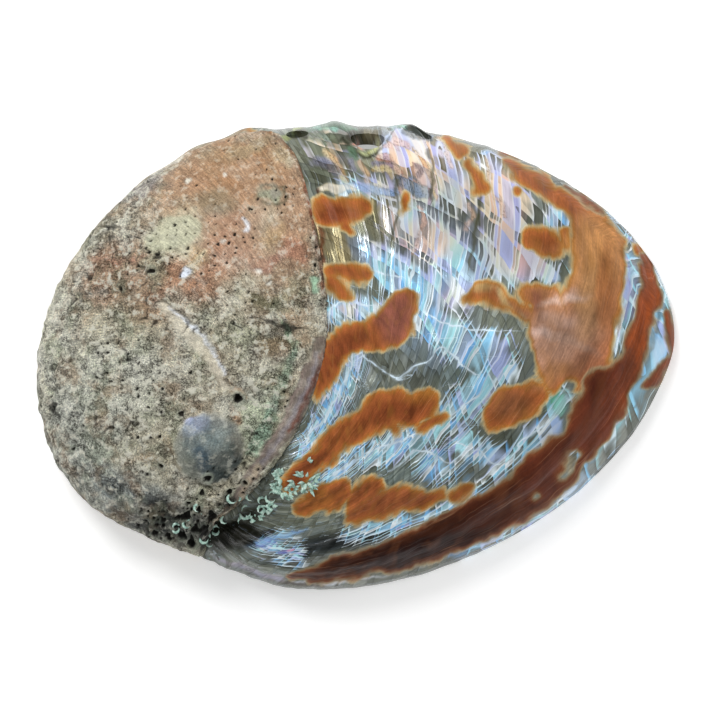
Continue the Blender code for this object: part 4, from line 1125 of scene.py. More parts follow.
# The old crust over the spire.
# Behind the former lip the shell keeps its outer layer, overgrown with lime crusts: rough, grainy, bored by
# worms and weathered. It grew on the wall and ends in a low ledge along the old lip.
CRUST_ALONG = 368
CRUST_ACROSS = 240
CRUST_ENDS = (0.012, 0.91)
CRUST_MARGIN = 0.992
CRUST_ROOT = 1.1
CRUST_HOLD = 0.6
CRUST_END_PULL = 0.02
SKIRT_STEP = 0.2
LEAST_CRUST = 0.02
EDGE_SHARES = (0.012, 0.02, 0.01)
EDGE_SUNK = 0.25
CRUST_FADE = (0.78, 0.97)
NIBBLE = 0.002
NIBBLES = [(3.0, 41), (0.9, 42)]
CRUST_TOP = 47.15
CRUST_EASE = 0.45
CHIPS = [(97, 5.0, 0.03), (127, 6.0, 0.022), (145, 5.0, 0.02), (163, 5.0, 0.014)]
BIG_PITS = [
    (238, 398, 5.0, 2.4), (209, 474, 3.6, 1.5), (182, 414, 2.5, 1.0), (78, 447, 2.2, 1.0),
    (89, 424, 2.2, 1.0), (162, 464, 2.5, 1.2), (150, 470, 1.6, 0.8), (230, 489, 3.2, 1.6),
    (246, 480, 2.6, 1.3), (248, 506, 7.5, 3.0), (235, 513, 5.5, 3.0), (256, 500, 4.0, 2.0),
    (213, 512, 4.0, 2.0), (200, 506, 3.5, 1.6), (188, 513, 4.0, 1.8), (178, 520, 4.0, 1.8),
    (166, 515, 3.0, 1.4), (196, 524, 4.0, 2.0), (184, 530, 4.0, 1.8), (170, 531, 3.5, 1.6),
    (158, 527, 3.0, 1.4), (206, 524, 3.5, 1.8), (219, 522, 4.5, 1.8), (203, 490, 2.6, 1.2),
    (190, 500, 2.4, 1.2), (194, 537, 4.5, 2.0), (262, 481, 2.8, 1.2), (163, 219, 1.8, 0.7),
    (152, 241, 2.0, 0.8), (186, 223, 1.8, 0.7), (178, 232, 1.2, 0.6), (171, 219, 1.2, 0.6),
    (176, 243, 1.4, 0.6), (185, 246, 1.3, 0.6), (154, 272, 3.0, 1.2), (123, 290, 2.2, 1.0),
    (251, 210, 2.0, 1.2), (192, 372, 2.2, 1.0), (186, 398, 1.6, 0.8), (152, 393, 1.6, 0.8),
]
LACE = [[(146, 512, 6), (164, 520, 12), (188, 520, 15), (214, 518, 13), (238, 506, 11), (258, 494, 6)]]

# Scattered pits: spacing and greatest radius in mm, and seed. The lattice leaves room round each of them.
SMALL_PITS = (2.6, 0.65, 1.0)
SMALL_PIT_DEPTH = 0.9
FEWEST_PITS = 0.15
LACE_PITS = (1.9, 1.35, 5.0)
PIT_ROOM = 0.15
LEAST_PIT = 0.25
PIT_STRAYS = [(1.3, 0.9, 21, 22)]
CRUST_STRAYS = [(6.0, 5.0, 51, 53), (4.0, 2.0, 52, 54)]
CRUST_SMALL_STRAYS = [(1.8, 1.6, 55, 56), (0.8, 0.7, 57, 58)]

# Relief of the crust: heights, sizes and seeds, and ovals in which it lies smoother.
CRUST_LUMP_HEIGHT = 0.75
CRUST_LUMP_SIZE = 9.0
CRUST_SWELL = [(0.3, 3.4, 31)]
CRUMBS = [(0.45, 1.7, 32), (0.34, 0.95, 33), (0.15, 0.55, 35)]
CLOTS = [(0.45, 3.0, 45)]
GAP_DEPTH = 0.5
CAP_HEIGHT = 1.6
SWIRL_HEIGHT = 0.09
SWIRL_SPACING = 1.1
VALLEY_DEPTH = 0.6
LACE_DEPTH = 1.5
SMOOTH_PART = (240, 210, 90, 100, 0)
FINE_PART = (240, 200, 90, 95, 0)
PALE_PATCH = (172, 236, 30, 18, 22)
LACED_PART = (180, 524, 66, 20, -14)
CRUST_GROUND = "#c3bda7"
# Washes over the crust; the near-black ovals over the laced part by the cleft, at columns 176 and 226, are
# painted shade.
CRUST_WASHES = [
    (215, 180, 85, 52, 25, "#a98262", 0.9), (255, 165, 50, 38, 0, "#a67e5a", 0.8),
    (296, 225, 26, 70, -5, "#ad8769", 0.85), (285, 300, 34, 44, 0, "#a58a70", 0.7),
    (110, 270, 46, 30, 35, "#b28c72", 0.85), (190, 280, 60, 28, 25, "#b08366", 0.9),
    (238, 240, 34, 38, 0, "#ac7f64", 0.8), (140, 183, 38, 16, 38, "#9a9491", 0.9),
    (96, 222, 26, 16, 45, "#948e7c", 0.75), (58, 335, 22, 64, -5, "#d0cfbf", 0.85),
    (80, 430, 46, 60, -10, "#bcc0b6", 0.9), (130, 380, 62, 42, 0, "#d0d2c4", 0.8),
    (128, 498, 62, 30, -28, "#8d9696", 0.9), (176, 524, 64, 22, -16, "#181b1d", 1.0),
    (195, 385, 40, 28, 0, "#beb7a5", 0.75), (290, 390, 26, 34, 0, "#c4bca9", 0.7),
    (262, 420, 26, 46, -15, "#c2ccb2", 0.9), (215, 205, 24, 14, 0, "#7c775f", 0.6),
    (296, 250, 14, 14, 0, "#ad705c", 0.5), (270, 262, 22, 8, 10, "#a96c5c", 0.5),
    (274, 240, 14, 10, 30, "#b59a70", 0.6), (172, 236, 31, 19, 22, "#c3c2a8", 1.0),
    (197, 256, 16, 10, 50, "#c2a67e", 0.8), (182, 315, 26, 20, -60, "#c6bfad", 0.75),
    (265, 300, 14, 9, 0, "#78765a", 0.8), (270, 340, 18, 14, 0, "#7a795f", 0.7),
    (270, 194, 12, 8, 0, "#9aa088", 0.9), (286, 155, 13, 12, 0, "#bba98a", 0.8),
    (248, 150, 26, 10, 20, "#a39779", 0.6), (100, 448, 22, 16, 0, "#9aa48f", 0.6),
    (226, 508, 26, 12, 28, "#2c3031", 0.9),
]
WORN_STRENGTH = 0.85

# Rings on the spire's cap: spacing in mm, degrees to a ring, waver, and how much they and the grain shade it.
CAP_RINGS = (0.9, 120, 0.3)
CAP_SHADES = (0.15, 0.16)
CAP_EDGE = (1.04, 0.94)
LEAST_ROUGH = 0.12
CRUST_STROKES = [
    ([(322, 341, 6), (311, 375, 9), (298, 408, 10), (285, 432, 8), (268, 454, 7), (250, 477, 6),
     (238, 497, 4)], "#6a5d57", 0.9),
    ([(318, 352, 1), (309, 385, 2), (293, 415, 2.5), (279, 440, 2), (262, 463, 1.5)], "#8f8a92", 0.6),
    ([(324, 350, 1.5), (317, 375, 2), (303, 408, 2), (290, 430, 2)], "#6f4034", 0.8),
    ([(306, 362, 1), (298, 390, 1.5), (284, 418, 1.5), (270, 443, 1.5), (254, 466, 1)], "#94837c", 0.6),
    ([(258, 466, 1.5), (247, 485, 2), (240, 499, 1.5), (228, 512, 1), (214, 523, 1)], "#b5a58e", 0.8),
    ([(314, 278, 3), (316, 291, 3.5)], "#8fb89c", 0.85),
    ([(296, 342, 3), (288, 368, 4), (280, 392, 6), (268, 424, 7), (252, 452, 5)], "#8fb39c", 0.7),
    ([(163, 306, 5), (178, 320, 8), (192, 335, 8), (206, 352, 7), (217, 370, 6),
     (226, 388, 3)], "#cbc4b2", 0.85),
    ([(170, 308, 1), (190, 324, 1.6), (207, 342, 1.8), (218, 360, 1.4), (224, 374, 1)], "#e6ecf4", 0.95),
    ([(204, 335, 1), (212, 345, 1.3), (218, 355, 1)], "#eef4f6", 0.95),
    ([(182, 277, 2), (187, 272, 4), (196, 262, 3), (205, 250, 1)], "#cfc6a8", 0.7),
    ([(182, 275, 2.5), (187, 271, 3.5)], "#dfe6f2", 1.0),
    ([(300, 166, 1), (306, 185, 1.5), (312, 215, 1.5), (318, 250, 1.5), (323, 285, 1.5),
     (324, 320, 1.5)], "#8b4527", 0.8),
    ([(262, 126, 1), (275, 136, 2), (290, 148, 2), (300, 165, 1)], "#8a5f3a", 0.8),
    # Pale strokes along the worn rim, this one and the second, third and fourth after it: bare nacre with
    # painted highlights.
    ([(225, 128, 2), (243, 126, 3), (262, 126, 2)], "#ddd8c6", 0.9),
    ([(226, 132, 1), (244, 130, 1.2), (260, 130, 1)], "#a86a3a", 0.7),
    ([(152, 175, 1.5), (170, 163, 2.5), (188, 152, 1.5)], "#d9d5c8", 0.9),
    ([(100, 213, 1.5), (114, 203, 2.5), (130, 193, 1)], "#d0d5c9", 0.9),
    ([(56, 262, 1), (66, 246, 2), (80, 228, 1)], "#b9d2c4", 0.7),
    ([(37, 330, 1), (38, 360, 2), (37, 400, 1.5), (44, 440, 1)], "#c4c6bd", 0.7),
    ([(262, 186, 1), (272, 184, 1.5), (284, 188, 1.2), (288, 198, 1), (278, 204, 1.5),
     (264, 202, 1)], "#55523f", 0.8),
    ([(275, 194, 4), (277, 194, 4)], "#8e8a7c", 0.9),
    ([(244, 218, 1.5), (250, 224, 1.5), (246, 232, 1.5)], "#dde0e6", 0.9),
    ([(156, 240, 10), (170, 232, 15), (190, 228, 12)], "#bab99f", 0.8),
    ([(278, 318, 1), (288, 330, 3), (292, 345, 2)], "#9bbd9f", 0.7),
    ([(94, 258, 1), (120, 262, 3), (146, 256, 2)], "#bb8c77", 0.6),
    ([(225, 174, 2.2), (225.1, 174, 2.2)], "#e6e3d8", 0.9),
    ([(188, 181, 2), (188.1, 181, 2)], "#dcd9cb", 0.9),
    ([(258, 271, 2.5), (258.1, 271, 2.5)], "#e8e6dc", 0.9),
    ([(270, 283, 2.5), (270.1, 283, 2.5)], "#dfded2", 0.9),
    ([(293, 303, 2), (293.1, 303, 2)], "#cfcfc0", 0.8),
    ([(223, 240, 1.6), (223.1, 240, 1.6)], "#e6e3d8", 0.8),
    ([(231, 392, 1.5), (236, 389, 2), (243, 391, 2), (246, 398, 1.5)], "#a5876a", 0.9),
    ([(232, 404, 2), (234, 412, 4), (238, 422, 3)], "#a56f4c", 0.6),
]
SPIRE_TOP = (209, 448, 36)
# Washes over the spire's cap: its grey-blue tone, painted shade on its lower right and a painted lilac-blue
# highlight on its upper left.
SPIRE_WASHES = [
    (209, 448, 37, 37, 0, "#4c5d67", 1.0), (226, 464, 20, 30, 0, "#2f3a39", 1.0),
    (194, 424, 16, 10, 30, "#8796ad", 0.9), (188, 419, 6, 4, 20, "#b9c3e6", 0.9),
    (216, 440, 16, 12, 0, "#7c8b8c", 0.7), (190, 470, 10, 18, 0, "#7c8074", 0.7),
]


def scattered_pits(x, y, spacing, radius, seed):
    """How deep inside a scattered pit each point lies, 0 outside to 1 in its middle.

    Each cell of a lattice holds one pit at a random place, whose radius is a random share of the given one,
    squared so that most are small.
    """
    best = np.zeros_like(x)
    u, v = x / spacing, y / spacing
    for di in (-1, 0, 1):
        for dj in (-1, 0, 1):
            i, j = np.floor(u) + di, np.floor(v) + dj
            one, two, three = [tossed(i, j, seed, factors) for factors in TOSSES]
            across = u - i - PIT_ROOM - (1 - 2 * PIT_ROOM) * one
            along = v - j - PIT_ROOM - (1 - 2 * PIT_ROOM) * two
            size = radius * (LEAST_PIT + (1 - LEAST_PIT) * three**2)
            best = np.maximum(best, np.clip(1 - np.hypot(across, along) * spacing / size, 0, 1))
    return best


def pit_depths(x, y):
    """Depth of every pit in mm and a mask of them: the big ones by hand, and scattered small ones."""
    column, row = strayed(x, y, *in_picture(x, y), PIT_STRAYS)
    depth, rim = np.zeros_like(x), np.zeros_like(x)
    for px, py, radius, deep in BIG_PITS:
        away = np.hypot(column - px, row - py) / radius
        depth = np.maximum(depth, deep * smooth_step(1.15, 0.55, away))
        rim = np.maximum(rim, np.exp(-(((away - 1.35) / 0.35) ** 2)) * min(deep, 1.5))
    many = FEWEST_PITS + (1 - FEWEST_PITS) * smooth_step(-0.3, 0.6, mottle(x, y, 11.0, 23))
    small = scattered_pits(x, y, *SMALL_PITS) * many
    return depth, SMALL_PIT_DEPTH * smooth_step(0.0, 0.6, small), rim


def on_the_band(column, row):
    """1 on the smooth brown band along the suture, 0 past its edges."""
    return smooth_step(-3.0, 3.0, depth_in([CRUST_STROKES[0][0]], column, row))


def crust_relief(x, y, side, share):
    """Lift of the crust over the wall's own surface, and masks of pits and rims for its material."""
    thin, thick = CRUST_THICKNESS
    lift = (thin + (thick - thin) * smooth_step(0.3, 0.9, share)) * smooth_step(0.1, -1.3, side)
    lift += CRUST_LUMP_HEIGHT * lumps(x, y, CRUST_LUMP_SIZE) + mottles(x, y, CRUST_SWELL) + knobs(x, y)
    column, row = in_picture(x, y)
    coarse = 1.1 - 0.75 * inside_oval(column, row, SMOOTH_PART) - 0.6 * on_the_band(column, row)
    crumbs = mottles(x, y, CRUMBS) + mottles(x, y, CLOTS) * smooth_step(-0.3, 0.5, mottle(x, y, 9.0, 46))
    gaps = smooth_step(0.35, 0.85, mottle(x, y, 1.9, 36))
    crumbs -= GAP_DEPTH * gaps * smooth_step(0.0, 0.5, mottle(x, y, 0.8, 37))
    age, along = growth(x, y)
    crumbs += 0.12 * mottle(age, along * 0.1, 1.6, 34)
    px, py, radius = SPIRE_TOP
    away = np.hypot(column - px, row - py) / radius
    cap = np.sqrt(np.clip(1 - away**2, 0, 1))
    distance, _ = polar_about_apex(x, y)
    swirl = SWIRL_HEIGHT * np.sin(2 * np.pi * (distance / SWIRL_SPACING + age / 90))
    on_cap = smooth_step(1.0, 0.93, away)
    valley = VALLEY_DEPTH * np.exp(-(((away - 1.06) / 0.09) ** 2))
    lift += coarse * crumbs * (1 - 0.9 * on_cap) + CAP_HEIGHT * cap + swirl * on_cap - valley
    big, small, rim = pit_depths(x, y)
    inside = smooth_step(-3.0, 3.0, depth_in(LACE, column, row))
    lace = scattered_pits(x + 0.5 * mottle(x, y, 1.2, 38), y, *LACE_PITS)
    lace = smooth_step(0.25, 0.5, lace) * inside
    cracks = smooth_step(0.14, 0.03, np.abs(mottle(x + 0.8 * mottle(x, y, 1.3, 43), y, 3.0, 39)))
    cracks *= smooth_step(0.0, 0.5, mottle(x, y, 8.0, 40)) * (coarse > 0.8) * (1 - on_cap)
    small = small + 0.55 * cracks
    lift += 0.30 * rim * (1 - inside) - big - small * (1 - 0.5 * on_cap) - LACE_DEPTH * lace
    return lift, np.clip(big / 1.2 + small + lace, 0, 1), rim * (1 - 0.7 * inside)


def kept_within(points):
    """Points drawn in to the wall's outline where they lie past it, and eased down under the top."""
    away = points[..., :2] - np.array(SUMMIT)
    distance, angles = about_summit(points[..., 0], points[..., 1])
    drawn_in = np.minimum(1.0, (round_summit(OUTLINE, angles) - PLAN_ALLOWANCE) / np.maximum(distance, 1.0))
    over = np.maximum(points[..., 2] - CRUST_TOP, 0.0)
    height = np.minimum(points[..., 2], CRUST_TOP) + CRUST_EASE * np.tanh(over / CRUST_EASE)
    return np.concatenate([np.array(SUMMIT) + away * drawn_in[..., None], height[..., None]], -1)


def old_crust():
    """The crust as one closed skin.

    In the flat disc that the dome is bent from, its top is ruled from the old lip to the margin; a skirt
    leads down from its edge, and a grid a quarter as fine closes it inside the wall.
    """
    v = np.linspace(*CRUST_ENDS, CRUST_ALONG + 1)[:, None]
    u = np.linspace(0, 1, CRUST_ACROSS + 1)[None, :]
    at = v[:, 0] * (len(lip_line) - 1)
    lip_x = np.interp(at, np.arange(len(lip_line)), lip_line[:, 0])
    lip_y = np.interp(at, np.arange(len(lip_line)), lip_line[:, 1])
    distance, lip_angle = about_summit(lip_x, lip_y)
    lip_angle = np.unwrap(lip_angle, period=360)
    out = np.clip(distance / (round_summit(OUTLINE, lip_angle) - PLAN_ALLOWANCE), 0, 0.9999)
    lip_steps = np.degrees(np.arcsin(out ** (PLAN_ROUNDNESS / 2))) / 90
    start, end = np.mod(lip_angle[0], 360), np.mod(lip_angle[-1], 360)
    margin_angle = start + (end - start) * np.linspace(0, 1, CRUST_ALONG + 1)
    margin_steps = np.full(CRUST_ALONG + 1, CRUST_MARGIN)
    for centre, width, depth in CHIPS:
        margin_steps -= depth * np.exp(-(((margin_angle - centre) / width) ** 4))
    margin_steps -= CRUST_END_PULL * smooth_step(0.90, 1.0, np.linspace(0, 1, CRUST_ALONG + 1))
    for size, seed in NIBBLES:
        margin_steps -= NIBBLE * (1 + mottle(margin_angle, margin_angle * 0, size, seed))
    lip_steps = np.minimum(lip_steps, margin_steps - LEAST_CRUST)
    lip_at = pointing(lip_angle) * lip_steps[:, None]
    margin_at = pointing(margin_angle) * margin_steps[:, None]
    flat = lip_at[:, None] * (1 - u[..., None]) + margin_at[:, None] * u[..., None]
    steps = np.hypot(flat[..., 0], flat[..., 1])
    angles = np.degrees(np.arctan2(flat[..., 1], flat[..., 0]))
    base, side, share, normal = bare_outside(steps, angles)
    lift, pits, rim = crust_relief(base[..., 0], base[..., 1], side, share)
    at_lip, at_margin, at_ends = EDGE_SHARES
    across_edge = np.minimum(u / at_lip, (1 - u) / at_margin)
    along_edge = np.minimum(v - v[0], v[-1] - v) / at_ends
    edge = smooth_step(0, 1, np.minimum(across_edge, along_edge))
    margin_fade = 1 - smooth_step(*CRUST_FADE, steps)
    top = base + normal * (lift * margin_fade * edge - EDGE_SUNK * (1 - edge))[..., None]
    sunk = SUNK_UNDER_CRUST * (1 - smooth_step(*SUNK_FADE, steps)) + CRUST_ROOT * edge + CRUST_HOLD
    under = base - normal * sunk[..., None]
    top, under = kept_within(top), kept_within(under)
    rim_numbers = rim_of(CRUST_ALONG, CRUST_ACROSS, 0)
    skirt = under.reshape(-1, 3)[rim_numbers]
    halved = skirt[::2] - normal.reshape(-1, 3)[rim_numbers][::2] * SKIRT_STEP
    coarse = (under - normal * 2 * SKIRT_STEP)[::4, ::4].reshape(-1, 3)
    top = top.reshape(-1, 3)
    piece = closed_by_rings("old_crust", top, [skirt, halved], coarse, CRUST_ALONG, CRUST_ACROSS)
    rest = len(skirt) + len(halved) + len(coarse)
    give(piece.data, "pit", "FLOAT", np.concatenate([pits.ravel(), np.zeros(rest)]))
    give(piece.data, "rim", "FLOAT", np.concatenate([rim.ravel(), np.zeros(rest)]))
    return piece


def mark_crust(mesh):
    """Paints the crust: soft washes of its growths, then strokes for the bands and worn edges."""
    x, y, _ = points_of(mesh).T
    column, row = in_picture(x, y)
    near_column, near_row = strayed(x, y, column, row, CRUST_SMALL_STRAYS)
    colour = washed(CRUST_GROUND, SPIRE_WASHES, near_column, near_row)
    distance, turn = polar_about_apex(x, y)
    spacing, degrees, waver = CAP_RINGS
    rings = distance / spacing + turn / degrees + waver * mottle(x, y, 4.0, 59)
    ringed, grained = CAP_SHADES
    colour *= 1 + (ringed * np.sin(2 * np.pi * rings) + grained * mottle(x, y, 0.8, 60))[..., None]
    px, py, radius = SPIRE_TOP
    on_cap = smooth_step(*CAP_EDGE, np.hypot(near_column - px, near_row - py) / radius)[..., None]
    column, row = strayed(x, y, column, row, CRUST_STRAYS)
    colour = colour * on_cap + washed(CRUST_GROUND, CRUST_WASHES, column, row) * (1 - on_cap)
    give(mesh, "wash", "FLOAT_COLOR", stroked(colour, CRUST_STROKES, near_column, near_row))
    rough = 1.0 - 0.76 * inside_oval(column, row, FINE_PART) - 0.74 * on_cap[..., 0]
    worn = [stroke for stroke, _, strength in CRUST_STROKES if strength >= WORN_STRENGTH]
    rough -= 0.8 * smooth_step(-2.0, 2.0, depth_in(worn, near_column, near_row))
    rough -= 0.6 * on_the_band(column, row) + 0.5 * inside_oval(column, row, PALE_PATCH)
    rough -= 0.6 * inside_oval(column, row, LACED_PART)
    give(mesh, "rough", "FLOAT", np.clip(rough, LEAST_ROUGH, 1.0))


def weathered_crust():
    """Weathered lime crust.

    Old horny layer and lime growth with no polish left: matt, crumbly at about 0.5 mm, pale on its crumbs,
    which carry a painted highlight, and with painted shade: dark in the crevices between them and black in
    its pits.
    """
    material, tree, shader = new_material("weathered_lime_crust")
    wash = add(tree, "Attribute", {"attribute_name": "wash"})["Color"]
    pit = add(tree, "Attribute", {"attribute_name": "pit"})["Fac"]
    rim = add(tree, "Attribute", {"attribute_name": "rim"})["Fac"]
    rough = add(tree, "Attribute", {"attribute_name": "rough"})["Fac"]
    weave = add(tree, "Attribute", {"attribute_name": "weave"})["Vector"]
    place = add(tree, "TexCoord")["Object"]
    grain = add(tree, "TexNoise", {}, {"Vector": place, "Scale": 2100.0, "Detail": 3.0, "Roughness": 0.8})[0]
    crumbs = add(tree, "TexNoise", {}, {"Vector": place, "Scale": 480.0, "Detail": 5.0, "Roughness": 0.65})[0]
    patches = add(tree, "TexNoise", {}, {"Vector": place, "Scale": 240.0, "Detail": 4.0, "Roughness": 0.6})[0]
    fibre = add(tree, "VectorMath", SCALED, (weave, (1.6, 0.25, 1.0)))[0]
    fibre = add(tree, "TexNoise", {}, {"Vector": fibre, "Scale": 1.0, "Detail": 3.0})[0]
    colour = wash
    broad = add(tree, "TexNoise", {}, {"Vector": place, "Scale": 105.0, "Detail": 5.0, "Roughness": 0.6})[1]
    hues = add(tree, "SeparateColor", {}, (broad,))
    for number, growth_hue in enumerate(("#9aa289", "#d4d4c8", "#9c8164")):
        spread = add(tree, "MapRange", {}, (hues[number], 0.50, 0.62, 0.0, 0.55))[0]
        spread = add(tree, "Math", SCALED, (spread, rough))[0]
        colour = add(tree, "MixRGB", {}, (spread, colour, growth_hue))[0]
    for noise, dark, pale, share in (
        (grain, 0.42, 1.66, rough), (grain, 0.80, 1.20, 1.0),
        (patches, 0.66, 1.36, rough), (fibre, 0.74, 1.28, 1.0),
    ):
        shade = add(tree, "MapRange", {}, (noise, 0.32, 0.68, dark, pale))[0]
        colour = add(tree, "MixRGB", MULTIPLIED, (share, colour, shade))[0]
    # Painted shade in the crevices between the crumbs.
    crevice_shade = add(tree, "Math", {"operation": "SUBTRACT"}, (crumbs, 0.47))[0]
    crevice_shade = add(tree, "Math", {"operation": "ABSOLUTE"}, (crevice_shade,))[0]
    crevice_shade = add(tree, "MapRange", {}, (crevice_shade, 0.03, 0.006, 0.0, 1.0))[0]
    broken = add(tree, "MapRange", {}, (patches, 0.56, 0.44, 0.0, 1.0))[0]
    crevice_shade = add(tree, "Math", SCALED, (crevice_shade, broken))[0]
    crevice_shade = add(tree, "Math", SCALED, (crevice_shade, rough))[0]
    colour = add(tree, "MixRGB", MULTIPLIED, (crevice_shade, colour, "#443d30"))[0]
    # The crumbs painted paler: their own pale lime colour and a painted highlight on their tops.
    crumb_tone_and_highlight = add(tree, "MapRange", {}, (crumbs, 0.54, 0.62, 0.0, 0.85))[0]
    crumb_tone_and_highlight = add(tree, "Math", SCALED, (crumb_tone_and_highlight, rough))[0]
    colour = add(tree, "MixRGB", {}, (crumb_tone_and_highlight, colour, "#eeecdc"))[0]
    pale = add(tree, "Math", SCALED, (rim, 0.3))[0]
    colour = add(tree, "MixRGB", {}, (pale, colour, "#b3bca8"))[0]
    # Painted shade: the pits are painted near black.
    pit_shade = add(tree, "MapRange", {}, (pit, 0.15, 0.6, 0.0, 0.95))[0]
    colour = add(tree, "MixRGB", {}, (pit_shade, colour, "#191814"))[0]
    tree.links.new(colour, shader.inputs["Base Color"])
    shader.inputs["Roughness"].default_value = 0.8
    shader.inputs["Specular IOR Level"].default_value = 0.25
    relief = add(tree, "Math", SUMMED, (crumbs, 2.0, grain))[0]
    relief = add(tree, "Math", SCALED, (relief, rough))[0]
    bump = add(tree, "Bump", {}, {"Strength": 1.0, "Distance": 0.0008, "Height": relief})[0]
    tree.links.new(bump, shader.inputs["Normal"])
    return material


crust = old_crust()
mark_growth(crust.data)
mark_crust(crust.data)
crust.data.materials.append(weathered_crust())
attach(crust, "root")

# The green frill beside the cleft.
# Small leafy lime growths, about 1 to 3 mm long, that grew in the cleft where the polishing didn't reach.
# Their blades stand in stars and curl into little cups.
FRILL_RINGS = 6
FRILL_SIDES = 6
FRILL_SEED = 7
BLADE_ROOT = 0.35
BLADE_FLATNESS = 0.42
FOOTING = 0.6
# Each tuft: column, row, number of blades, length and half width in mm, then in degrees its first heading,
# its spread and its curl.
TUFTS = [
    (306, 482, 8, 2.5, 0.34, 10, 330, 20), (303, 477, 3, 2.2, 0.3, 100, 70, -15),
    (309, 486, 4, 2.6, 0.3, -70, 110, 10), (312, 480, 4, 2.2, 0.28, -30, 80, 25),
    (281, 477, 6, 1.9, 0.45, 60, 200, 10), (279, 473, 4, 1.2, 0.4, 80, 120, 0),
    (282, 491, 8, 1.7, 0.42, 0, 320, 30), (277, 487, 5, 1.5, 0.38, 90, 160, 20),
    (287, 495, 5, 1.5, 0.38, -90, 160, 20), (292, 490, 5, 1.8, 0.34, -40, 160, 30),
    (271, 507, 6, 1.3, 0.38, 0, 300, 20), (265, 514, 5, 1.3, 0.34, 10, 160, 30),
    (257, 518, 5, 1.2, 0.34, -30, 160, 30), (249, 520, 5, 1.2, 0.34, -40, 200, 30),
    (300, 489, 4, 1.6, 0.32, -60, 120, 20), (296, 483, 3, 1.8, 0.3, 150, 60, 20),
    (308, 463, 3, 1.3, 0.3, 30, 60, 10),
]
# Each cup: column, row, radius in mm, heading of its opening in degrees.
CUPS = [
    (272, 497, 1.3, 40), (262, 502, 0.9, 120), (242, 523, 1.1, 90), (234, 498, 1.3, 200), (205, 538, 1.1, 60),
    (211, 543, 0.8, 30), (199, 509, 1.0, 150), (252, 497, 1.2, 160), (246, 512, 1.4, 250), (226, 520, 1.0, 0),
    (262, 511, 1.0, 300), (216, 530, 0.9, 80), (188, 524, 1.0, 200), (176, 528, 0.9, 90),
]


def heights_at(x, y):
    """Height of the wall's or the crust's highest point near each place, within FOOTING in plan."""
    points = np.vstack([points_of(shell.data), points_of(crust.data)])
    near = np.hypot(points[:, 0, None] - x, points[:, 1, None] - y) < FOOTING
    return np.where(near, points[:, 2, None], 0.0).max(axis=0)


def curled_blades(start, heading, length, curl, width, rise):
    """Tapered blades as closed skins: a flat oval carried along an arc that turns by curl from its heading.

    Its half width goes as 1.5 (1 - s)^0.6 (0.45 + sin(pi s)) along its length s, and it rises by
    rise sin(pi s / 2).
    """
    s = np.linspace(0, 1, FRILL_RINGS)[None, :]
    turn = np.radians(heading[:, None] + curl[:, None] * s)
    step = length[:, None] / (FRILL_RINGS - 1)
    x = start[:, 0, None] + np.cumsum(np.cos(turn) * step, axis=1)
    y = start[:, 1, None] + np.cumsum(np.sin(turn) * step, axis=1)
    z = start[:, 2, None] + rise[:, None] * np.sin(0.5 * np.pi * s) - BLADE_ROOT * (1 - s)
    half = 1.5 * width[:, None] * (np.clip(1 - s, 0.02, 1) ** 0.6 * (0.45 + np.sin(np.pi * s)))
    around = np.radians(np.arange(FRILL_SIDES) * 360 / FRILL_SIDES)
    sideways = half[..., None] * np.cos(around)
    upright = BLADE_FLATNESS * half[..., None] * np.sin(around)
    points = np.stack([
        x[..., None] - np.sin(turn)[..., None] * sideways,
        y[..., None] + np.cos(turn)[..., None] * sideways,
        z[..., None] + upright,
    ], -1)
    count, ring = len(start), np.arange(FRILL_SIDES)
    first = (np.arange(count)[:, None] * FRILL_RINGS + np.arange(FRILL_RINGS - 1)) * FRILL_SIDES
    a = first[..., None] + ring
    b = first[..., None] + np.roll(ring, -1)
    faces = np.stack([a, b, b + FRILL_SIDES, a + FRILL_SIDES], -1).reshape(-1, 4).tolist()
    base = np.arange(count)[:, None] * FRILL_RINGS * FRILL_SIDES
    faces += (base + ring[::-1]).tolist() + (base + (FRILL_RINGS - 1) * FRILL_SIDES + ring).tolist()
    return points.reshape(-1, 3), faces


def green_frill():
    """All tufts and cups as one piece; each blade's length, heading and rise are tossed from a fixed seed."""
    toss = np.random.default_rng(FRILL_SEED)
    rows = []
    for px, py, count, length, width, heading, spread, curl in TUFTS:
        turns = heading + spread * (np.arange(count) + 0.5) / count + toss.uniform(-12, 12, count)
        for turn in turns:
            rows.append((px, py, turn, length * toss.uniform(0.8, 1.3), curl * toss.uniform(-1.5, 1.5),
                         width * toss.uniform(0.8, 1.2), toss.uniform(0.5, 1.3)))
    for px, py, radius, opening in CUPS:
        for half in (0, 1):
            heading = opening + 180 * half
            start_x = px + radius / PIXEL * math.cos(math.radians(heading - 90))
            start_y = py - radius / PIXEL * math.sin(math.radians(heading - 90))
            rows.append((start_x, start_y, heading, 3.4 * radius, 195, 0.30, 0.45))
    px, py, heading, length, curl, width, rise = np.array(rows).T
    x, y = (px - PICTURE_MIDDLE[0]) * PIXEL, (PICTURE_MIDDLE[1] - py) * PIXEL
    points, faces = curled_blades(np.stack([x, y, heights_at(x, y)], -1), heading, length, curl, width, rise)
    return closed_piece("green_frill", [points], faces)


def leafy_lime():
    """Leafy lime growth.

    Thin matt lime, pale aqua green on the blades' upper sides and grey-green below; here the two are mottled
    at random, with a fine tooth.
    """
    material, tree, shader = new_material("leafy_green_lime")
    place = add(tree, "TexCoord")["Object"]
    tooth = add(tree, "TexNoise", {}, {"Vector": place, "Scale": 1400.0, "Detail": 3.0, "Roughness": 0.7})[0]
    greens = [(0.33, "#6f9084"), (0.68, "#dcebe0"), (0.5, "#a6c8ba")]
    colour = add(tree, "ValToRGB", {}, (tooth,), greens)[0]
    tree.links.new(colour, shader.inputs["Base Color"])
    shader.inputs["Roughness"].default_value = 0.7
    bump = add(tree, "Bump", {}, {"Strength": 0.5, "Distance": 0.0002, "Height": tooth})[0]
    tree.links.new(bump, shader.inputs["Normal"])
    return material


frill = green_frill()
frill.data.materials.append(leafy_lime())
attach(frill, "root")

